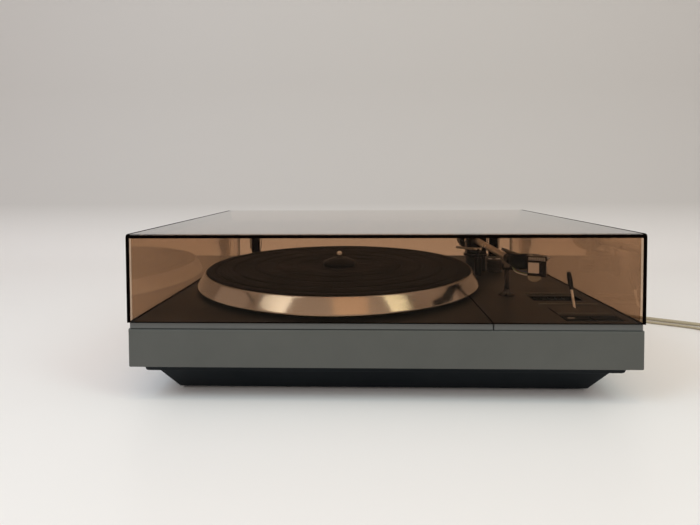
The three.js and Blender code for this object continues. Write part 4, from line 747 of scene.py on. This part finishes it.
# The counterweight, behind the pivot: three raised rings with two grooves between them, ribbed at the front
WEIGHT_FRONT, WEIGHT_LENGTH, WEIGHT_BORE, WEIGHT_RADIUS, RING_RADIUS = -18, 22.6, 3.8, 16, 17
weight_profile = [(WEIGHT_BORE, WEIGHT_FRONT), (WEIGHT_RADIUS, WEIGHT_FRONT)]
for groove in (1, 2):
    middle = WEIGHT_FRONT - groove * WEIGHT_LENGTH / 3
    weight_profile += [
        (RING_RADIUS, middle + 6), (RING_RADIUS, middle + 1.5), (WEIGHT_RADIUS, middle + 0.75),
        (WEIGHT_RADIUS, middle - 0.75),
    ]
weight_profile += [(RING_RADIUS, -39.6), (WEIGHT_RADIUS, -40.6), (10, -40.6), (10, -39), (WEIGHT_BORE, -39)]
turned_node("counterweight", weight_profile, PIVOT, soft=0.3, sides=180, axis=FRONT_AXIS,
            knurl=(-31, -19.5, 60, 0.35))

# Headshell: a swept neck, a flat plate and a finger lift, turned in towards the record
HEAD_ANGLE = math.radians(22)
HEAD_TURN = Matrix.Rotation(-HEAD_ANGLE, 3, "Z")
HEAD_SHIFT, HEAD_REACH = 3.4, 207
HEAD_FRONT = Vector((PIVOT.x + HEAD_SHIFT, PIVOT.y - HEAD_REACH, PIVOT.z))
HEAD_RISE, HEAD_PLATE, HEAD_LENGTH, HEAD_WIDTH, HEAD_CORNER = 9.2, 4.0, 27.0, 17.4, 3.0

# The neck: its start ahead of the pivot, its end behind the head's front, and its half sizes and squareness
NECK_START, NECK_END = 150.3, 24
NECK_HALF_WIDTH, NECK_HALF_HEIGHT, NECK_SQUARENESS = 5, 7.5, 0.62
NECK_SIDES, NECK_STATIONS = 40, 30
# Its way forwards and sideways, its width, height and rise, in shares at evenly spaced places
ALONG_SHARES, SWEEP_SHARES = (0, 0.12, 0.36, 0.62, 0.84, 1), (0, 0.06, 0.3, 0.62, 0.88, 1)
WIDTH_SHARES, HEIGHT_SHARES = (0.62, 0.78, 0.95, 1.05, 1.2, 1.3), (0.52, 0.78, 1, 0.95, 0.62, 0.28)
RISE_SHARES = (0, 0, 0.06, 0.26, 0.56, 0.8)


def eased(shares, place):
    """A smooth curve through evenly spaced shares, at a place from 0 to their last."""
    low = min(int(place), len(shares) - 2)
    part = place - low
    a, b = shares[low], shares[low + 1]
    before = shares[max(low - 1, 0)]
    after = shares[min(low + 2, len(shares) - 1)]
    leave, arrive = (b - before) / 2, (after - a) / 2
    return (
        a + leave * part + (3 * (b - a) - 2 * leave - arrive) * part ** 2
        + (2 * (a - b) + leave + arrive) * part ** 3
    )


def neck_form():
    end_x = HEAD_SHIFT + NECK_END * math.sin(HEAD_ANGLE)
    end_y = HEAD_REACH - NECK_END * math.cos(HEAD_ANGLE)
    verts = []
    for station in range(NECK_STATIONS + 1):
        place = (len(ALONG_SHARES) - 1) * station / NECK_STATIONS
        along = eased(ALONG_SHARES, place)
        yaw = -HEAD_ANGLE * along
        middle_x = end_x * eased(SWEEP_SHARES, place)
        middle_y = -(NECK_START + (end_y - NECK_START) * along)
        middle_z = (HEAD_RISE + HEAD_PLATE / 2) * eased(RISE_SHARES, place)
        half_width = NECK_HALF_WIDTH * eased(WIDTH_SHARES, place)
        half_height = NECK_HALF_HEIGHT * eased(HEIGHT_SHARES, place)
        for side in range(NECK_SIDES):
            angle = TURN * (side + 0.5) / NECK_SIDES
            round_place = (math.cos(angle), math.sin(angle))
            across, up = (math.copysign(abs(value) ** NECK_SQUARENESS, value) for value in round_place)
            verts.append((
                middle_x + half_width * across * math.cos(yaw),
                middle_y + half_width * across * math.sin(yaw),
                middle_z + half_height * up,
            ))
    return object_from("head_neck", verts, tube_faces(NECK_STATIONS + 1, NECK_SIDES), PIVOT)


dressed(neck_form(), "arm", "dark_aluminium", "control_black")
hood = outline_solid("head_hood", [
    (-1, -118.3), (1, -118.3), (4.2, -150), (6.5, -163.3), (0, -163.3), (-4.2, -151.3),
], 5.3, 7.7, PIVOT, bevel=0.5)
dressed(hood, "arm", "dark_aluminium", "control_black")


def in_head(x, y, z):
    """A place under the turned head: x across, y from its front to the rear, z above the pivot's height."""
    return HEAD_FRONT + HEAD_TURN @ Vector((x, y, z))


# The flat plate, whose top falls a little towards its rear, and its finger lift
PLATE_FALL = 0.096
half = HEAD_WIDTH / 2
short, long = half - HEAD_CORNER, HEAD_LENGTH - HEAD_CORNER
plate_outline = [
    (-short, 0), (short, 0), (half, HEAD_CORNER), (half, long),
    (short, HEAD_LENGTH), (-short, HEAD_LENGTH), (-half, long), (-half, HEAD_CORNER),
]
head_plate = outline_solid("headshell_form", plate_outline, HEAD_RISE, HEAD_RISE + HEAD_PLATE, HEAD_FRONT,
                           HEAD_TURN, 0.5, 2, PLATE_FALL)
dressed(head_plate, "arm", "dark_aluminium", "dark_aluminium", "headshell")
finger = outline_solid("finger_lift", [
    (half - 2.2, 3.2), (half + 1.2, 0.6), (half + 2.2, 0.3), (half + 2.2, 2.2), (half + 1.4, 3.4), (half, 7),
], HEAD_RISE + 1.6, HEAD_RISE + 3.2, HEAD_FRONT, HEAD_TURN, 0.35)
dressed(finger, "arm", "dark_aluminium", "head_grey")

# A ribbed grey band across the front of the plate, and two screws through its top
RIBS, RIB_MARGIN, RIB_SIDE, RIB_REACH, RIB_FOOT = 10, 2.4, 0.45, 0.5, 0.2
BAND_MARGIN, BAND_REAR = 2.2, 0.8
SCREW_SPREAD, SCREW_PLACE = 5.4, 12
band = []
for rib in range(RIBS):
    middle = -half + RIB_MARGIN + (HEAD_WIDTH - RIB_MARGIN * 2) * rib / (RIBS - 1)
    low_x, high_x = middle - RIB_SIDE, middle + RIB_SIDE
    band += [(low_x, RIB_FOOT), (low_x, -RIB_REACH), (high_x, -RIB_REACH), (high_x, RIB_FOOT)]
band += [(half - BAND_MARGIN, BAND_REAR), (-half + BAND_MARGIN, BAND_REAR)]
band_piece = outline_solid("head_band", band, HEAD_RISE + 0.3, HEAD_RISE + HEAD_PLATE - 0.9, HEAD_FRONT,
                           HEAD_TURN, 0.08, 1)
dressed(band_piece, "arm", "dark_aluminium", "head_grey")
screw_z = HEAD_RISE + HEAD_PLATE - 0.1 - PLATE_FALL * SCREW_PLACE
for label, side in (("left", -1), ("right", 1)):
    screw(f"head_screw_{label}", [
        (0, 0), (1.9, 0), (1.9, 0.5), (1.5, 0.8), (0.6, 0.8), (0.5, 0.4), (0, 0.4),
    ], in_head(side * SCREW_SPREAD, SCREW_PLACE, screw_z), "arm", soft=0.12, sides=28)

# Cartridge with a plain light panel on its face, its pins and four thin wires back into the neck
CARTRIDGE_TOP, CARTRIDGE_HALF = HEAD_RISE - 0.3, 7.7
SIDE_ON = Matrix(((0, 0, 1), (1, 0, 0), (0, 1, 0)))
cartridge = outline_solid("cartridge_form", [
    (0, -0.6), (0.6, 0), (22, 0), (22, -10.8), (18.8, -14), (1.5, -14), (0, -11),
], -CARTRIDGE_HALF, CARTRIDGE_HALF, HEAD_FRONT + UPWARDS * CARTRIDGE_TOP, HEAD_TURN @ SIDE_ON, 0.5, 3)
dressed(cartridge, "arm", slot_of["cartridge"], slot_of["cartridge"], "cartridge")
light_panel = outline_solid("cartridge_panel", rectangle(-6.9, 1.9, -0.25, 0.3), CARTRIDGE_TOP - 10.6,
                            CARTRIDGE_TOP - 1.4, HEAD_FRONT, HEAD_TURN, 0.12, 1)
dressed(light_panel, "arm", slot_of["cartridge"], "panel_white")


def thin_tube(name, line, radius, sides=10):
    """A round tube along a short line of points."""
    verts = []
    for index, point in enumerate(line):
        along = (line[min(index + 1, len(line) - 1)] - line[max(index - 1, 0)]).normalized()
        across = along.cross(UPWARDS).normalized()
        up = across.cross(along)
        for side in range(sides):
            angle = TURN * side / sides
            verts.append(point + across * radius * math.cos(angle) + up * radius * math.sin(angle))
    return object_from(name, verts, tube_faces(len(line), sides))


# Pins and wires: two rows of two, from the cartridge's rear back into the neck
PIN_SPREAD, PIN_ROOT, PIN_RADIUS = 2.5, 21, 0.55
PIN_LOW, PIN_ROW = CARTRIDGE_TOP - 11.5, 3.5
WIRE_START, WIRE_RADIUS, WIRE_STEPS = 24.2, 0.6, 6


def wire_route(side, row, height):
    """From a pin at a height, down and back below the neck, and up into it."""
    return along_route([
        in_head(side * PIN_SPREAD, WIRE_START, height), in_head(side * 2.6, 27.5, height - 1.8 - row * 1.5),
        PIVOT + Vector((9.5 + side * 2.6, -177.5 + side * 1.2, -8.7 + row * 1.6)),
        PIVOT + Vector((4.5 + side * 2.4, -170 + side * 1.8, -9.3 + row * 1.3)),
        PIVOT + Vector((0.8 + side * 1.8, -162.5 + side, -8.4 + row)),
        PIVOT + Vector((side * 1.2, -156.5, -5.5)),
    ], WIRE_STEPS)


for wire, side, row in (("white", -1, 0), ("red", 1, 0), ("green", -1, 1), ("blue", 1, 1)):
    height = PIN_LOW + row * PIN_ROW
    pin_line = [in_head(side * PIN_SPREAD, PIN_ROOT + step, height) for step in (0, 2, 5)]
    pin = thin_tube(f"pin_{wire}", pin_line, PIN_RADIUS)
    dressed(pin, "arm", slot_of["cartridge"], "polished_steel")
    run = thin_tube(f"wire_{wire}_run", wire_route(side, row, height), WIRE_RADIUS)
    dressed(run, "arm", slot_of["cartridge"], f"wire_{wire}")
refined("stylus", 0.12)
refined("stylus_guard", 0.2, angle=40.0)

# Arm rest, lift, cue lever and anti-skating dial
REST = (PIVOT.x, -80.2)
turned_node("arm_rest_post", [
    (0, -8), (1.6, -8), (1.6, 0.3), (8, 0.3), (8, 0.9), (6.2, 1.5), (4.2, 2.6), (3, 4.4), (2.4, 6.6),
    (2.4, 26.2), (0, 26.2),
], (*REST, DECK_TOP), "dark_steel", soft=0.6, sides=64)
refined("arm_rest_fork", 0.6, "adapter_black", segments=4)
LIFT_REACH, LIFT_ANGLE = 34, math.radians(262)
LIFT = (PIVOT.x + LIFT_REACH * math.cos(LIFT_ANGLE), PIVOT.y + LIFT_REACH * math.sin(LIFT_ANGLE))
turned_node("lift_barrel", [
    (0, -8), (4.4, -8), (4.4, 3), (4.0, 3.4), (4.4, 3.8), (4.4, 22), (2.4, 22), (2.4, 0.3), (0, 0.3),
], (*LIFT, DECK_TOP), soft=0.4, sides=64)

# The lift bar is bright over its uppermost stretch alone
LIFT_BRIGHT = 4.0
lift_bar = refined("lift_bar", 0.35, "bright_aluminium", angle=40.0)
lift_bar.data.materials.append(looks["control_black"])
lift_bar_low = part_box("lift_bar")[1][2] - LIFT_BRIGHT * MM
for face in lift_bar.data.polygons:
    face.material_index = 1 if face.center.z < lift_bar_low else 0
refined("cue_lever", 0.25, "cue_white", angle=40.0)
refined("cue_paddle", 0.5, segments=4)

# The anti-skating dial: three ribs round it, and a cap with a dip in its middle and two white bars across
# it, a painted highlight on its top
DIAL = (152, 42, DECK_TOP + 0.3)
DIAL_RIBS, DIAL_PITCH = 3, 3.7
DIAL_RADIUS, DIAL_GROOVE, DIAL_UPPER, DIAL_TOP = 9.6, 8.5, 9.2, 14.8
CAP_FOOT = 14.7
GLINT_HALF, GLINT_LOW, GLINT_TOP = 1.1, 15.7, 16.5
dial_profile = [(0, 0), (DIAL_RADIUS, 0)]
for rib in range(1, DIAL_RIBS + 1):
    height = rib * DIAL_PITCH
    dial_profile += [
        (DIAL_RADIUS, height - 0.7), (DIAL_GROOVE, height - 0.35), (DIAL_GROOVE, height + 0.35),
        (DIAL_UPPER, height + 0.7),
    ]
dial_profile += [(DIAL_UPPER, DIAL_TOP), (0, DIAL_TOP)]
turned_node("antiskate_dial", dial_profile, DIAL, "dial_grey", soft=0.25, sides=120)
dial_cap = lathed("dial_cap", [
    (0, CAP_FOOT), (8.3, CAP_FOOT), (8.3, 15.4), (7.8, 16), (2.2, 16), (1.8, 15.6), (0, 15.6),
], DIAL, soft=0.25, sides=64)
dressed(dial_cap, "antiskate_dial", "turned_aluminium", "dial_grey")
# White bars on each side of the cap's dip: a painted highlight for the light on its top
for side, start, end in (("left", -7.4, -2.8), ("right", 2.2, 7.4)):
    glint_bar = outline_solid(f"dial_mark_{side}", rectangle(start, end, -GLINT_HALF, GLINT_HALF), GLINT_LOW,
                         GLINT_TOP, DIAL, bevel=0.2)
    dressed(glint_bar, "antiskate_dial", "turned_aluminium", "cue_white")

# Hinges
for side in ("left", "right"):
    refined(f"hinge_base_{side}", 0.5, angle=30.0)
    refined(f"hinge_leaf_{side}", 0.4, angle=30.0)
    refined(f"hinge_pin_{side}", 0.3, angle=40.0)

# Dust cover: its walls are cut where they meet, and the faces across a wall's thickness are painted
# near-black, a painted shade for how a wall seen along its thickness looks dark
# The inner faces of its sides, front, rear and roof, and the plane of its slope
SIDE_INNER, FRONT_INNER, REAR_INNER, ROOF_INNER = 0.2105, -0.175, 0.164, 0.1397
SLOPE_POINT, SLOPE_WAY, SLOPE_FRONT = Vector((0, 0.11713, 0.14075)), Vector((0, 0.6217, 0.7832)), 0.1
# The foot of its walls: faces below this height, ahead of this place and turned down at least this much
RIM_HEIGHT, RIM_REAR, FACES_DOWN = 0.08, 0.1672, -0.9
# Faces across a wall's thickness: those that face the wall's own way less than this
ALONG_WALL, ALONG_REAR_WALL = 0.5, 0.3


def dust_cover_form():
    work = merged_copy("dust_cover")
    right_way, rear_way = Vector((1, 0, 0)), Vector((0, 1, 0))
    planes = [
        (right_way * SIDE_INNER, right_way), (right_way * -SIDE_INNER, right_way),
        (rear_way * FRONT_INNER, rear_way), (rear_way * REAR_INNER, rear_way),
        (UPWARDS * ROOF_INNER, UPWARDS), (SLOPE_POINT, SLOPE_WAY),
    ]
    for place, way in planes:
        everything = work.verts[:] + work.edges[:] + work.faces[:]
        bmesh.ops.bisect_plane(work, geom=everything, plane_co=place, plane_no=way)
    for face in work.faces:
        middle, way = face.calc_center_median(), face.normal
        past_slope = (middle - SLOPE_POINT).dot(SLOPE_WAY) > 0 and middle.y > SLOPE_FRONT
        bands = [
            abs(middle.x) > SIDE_INNER and abs(way.x) < ALONG_WALL,
            middle.y < FRONT_INNER and abs(way.y) < ALONG_WALL and way.z < ALONG_WALL,
            REAR_INNER < middle.y and abs(way.y) < ALONG_REAR_WALL,
            middle.z > ROOF_INNER and abs(way.z) < ALONG_WALL,
            past_slope and abs(way.dot(SLOPE_WAY)) < ALONG_WALL,
            way.z < FACES_DOWN and middle.z < RIM_HEIGHT and middle.y < RIM_REAR,
        ]
        # Faces across a wall's thickness get the painted shade of the cover's edges
        face.material_index = 1 if any(bands) else 0
    obj = bevelled(object_of("dust_cover_form", work), 0.35)
    dressed(obj, "lid", "smoked_cover", "smoked_cover", "dust_cover")
    obj.data.materials.append(looks["cover_edge_shade"])


dust_cover_form()


# Floor and backdrop: one sheet that curves up, darker and less glossy above, and seen from its front alone
FLOOR_COLOUR, BACKDROP_COLOUR, COLOUR_CHANGE = (239, 232, 227), (197, 190, 184), 0.12
FLOOR_ROUGHNESS, BACKDROP_ROUGHNESS, STAGE_GLOSS = 0.3, 0.75, 0.32
STAGE_HALF, STAGE_FRONT, STAGE_REAR, STAGE_CURVE, STAGE_TOP = 3.2, -2.4, 0.95, 0.5, 2.6
STAGE_STEPS, STAGE_BELOW = 24, 0.001


def stage_material():
    shade = Shade("pale_stage")
    split = shade.node("ShaderNodeSeparateXYZ")
    shade.join(shade.place, split.inputs[0])
    height = shade.ranged(split.outputs["Z"], 0.0, 1.0, 0.0, COLOUR_CHANGE)
    tone = shade.mixed(height, linear(FLOOR_COLOUR), linear(BACKDROP_COLOUR))
    shade.join(tone, shade.shader.inputs["Base Color"])
    roughness = shade.ranged(height, FLOOR_ROUGHNESS, BACKDROP_ROUGHNESS, 0.0, 1.0)
    shade.join(roughness, shade.shader.inputs["Roughness"])
    shade.shader.inputs["Specular IOR Level"].default_value = STAGE_GLOSS
    one_sided = shade.node("ShaderNodeMixShader")
    shade.join(shade.node("ShaderNodeNewGeometry").outputs["Backfacing"], one_sided.inputs[0])
    shade.join(shade.shader.outputs[0], one_sided.inputs[1])
    shade.join(shade.node("ShaderNodeBsdfTransparent").outputs[0], one_sided.inputs[2])
    shade.join(one_sided.outputs[0], shade.output.inputs["Surface"])
    return shade.material


def stage_form():
    foot = STAGE_REAR - STAGE_CURVE
    profile = [(STAGE_FRONT, 0.0), (foot, 0.0)]
    for step in range(1, STAGE_STEPS + 1):
        angle = TURN / 4 * step / STAGE_STEPS
        profile.append((foot + STAGE_CURVE * math.sin(angle), STAGE_CURVE - STAGE_CURVE * math.cos(angle)))
    profile.append((STAGE_REAR, STAGE_TOP))
    verts = [(side * STAGE_HALF, y, z) for y, z in profile for side in (-1, 1)]
    faces = [(k * 2, k * 2 + 1, k * 2 + 3, k * 2 + 2) for k in range(len(profile) - 1)]
    behind = len(verts)
    verts += [(side * STAGE_HALF, y, -STAGE_BELOW) for y in (foot, STAGE_HALF) for side in (-1, 1)]
    faces.append((behind, behind + 1, behind + 3, behind + 2))
    mesh = bpy.data.meshes.new("stage")
    mesh.from_pydata(verts, [], faces)
    mesh.polygons.foreach_set("use_smooth", [True] * len(mesh.polygons))
    mesh.materials.append(stage_material())
    obj = bpy.data.objects.new("stage", mesh)
    scene.collection.objects.link(obj)


stage_form()


# Light: three soft boxes whose reflections are the bands on the platter's rim, a strip, a fill and a sky
# A box's azimuth is its turn to the right of the front
LIT_PLACE = Vector((-0.044, -0.1, 0.08))
BOX_DISTANCE, BOX_HEIGHT = 1.7, 0.85
SKY_COLOUR, SKY_STRENGTH, SKY_SEEN = (1.0, 0.965, 0.97, 1), 0.73, (190, 187, 184)


def soft_box(name, azimuth, elevation, width, brightness, colour, distance=BOX_DISTANCE, height=BOX_HEIGHT):
    lamp = bpy.data.lights.new(name, "AREA")
    lamp.shape = "RECTANGLE"
    lamp.size = width
    lamp.size_y = height
    lamp.energy = brightness * math.pi * width * height
    lamp.color = colour
    obj = bpy.data.objects.new(name, lamp)
    scene.collection.objects.link(obj)
    turned, raised = math.radians(azimuth), math.radians(elevation)
    level = math.cos(raised)
    way = Vector((math.sin(turned) * level, -math.cos(turned) * level, math.sin(raised)))
    obj.location = LIT_PLACE + way * distance
    obj.rotation_euler = (-way).to_track_quat("-Z", "Y").to_euler()
    obj.visible_camera = False


soft_box("left_box", -54, 44, 0.6, 6.0, (0.6, 0.82, 1.0))
soft_box("middle_box", 13, 45, 0.7, 0.7, (1.0, 0.7, 0.35))
soft_box("right_box", 55, 44, 0.42, 4.9, (0.74, 1.0, 0.95))
soft_box("top_strip", 9, 72, 0.6, 6, (1.0, 0.72, 0.42), height=0.2)
soft_box("front_fill", 0, 46, 3.4, 0.35, (0.8, 0.92, 1.0), distance=1.75, height=1.0)


def sky_world():
    """A sky that lights the scene, and another tone of it for the camera."""
    sky = bpy.data.worlds.new("sky")
    scene.world = sky
    sky.use_nodes = True
    tree = sky.node_tree
    light = tree.nodes["Background"]
    light.inputs["Color"].default_value = SKY_COLOUR
    light.inputs["Strength"].default_value = SKY_STRENGTH
    seen = tree.nodes.new("ShaderNodeBackground")
    seen.inputs["Color"].default_value = (*linear(SKY_SEEN), 1)
    mix = tree.nodes.new("ShaderNodeMixShader")
    path = tree.nodes.new("ShaderNodeLightPath")
    tree.links.new(path.outputs["Is Camera Ray"], mix.inputs[0])
    tree.links.new(light.outputs[0], mix.inputs[1])
    tree.links.new(seen.outputs[0], mix.inputs[2])
    tree.links.new(mix.outputs[0], tree.nodes["World Output"].inputs["Surface"])


sky_world()

scene.view_settings.view_transform = "Standard"
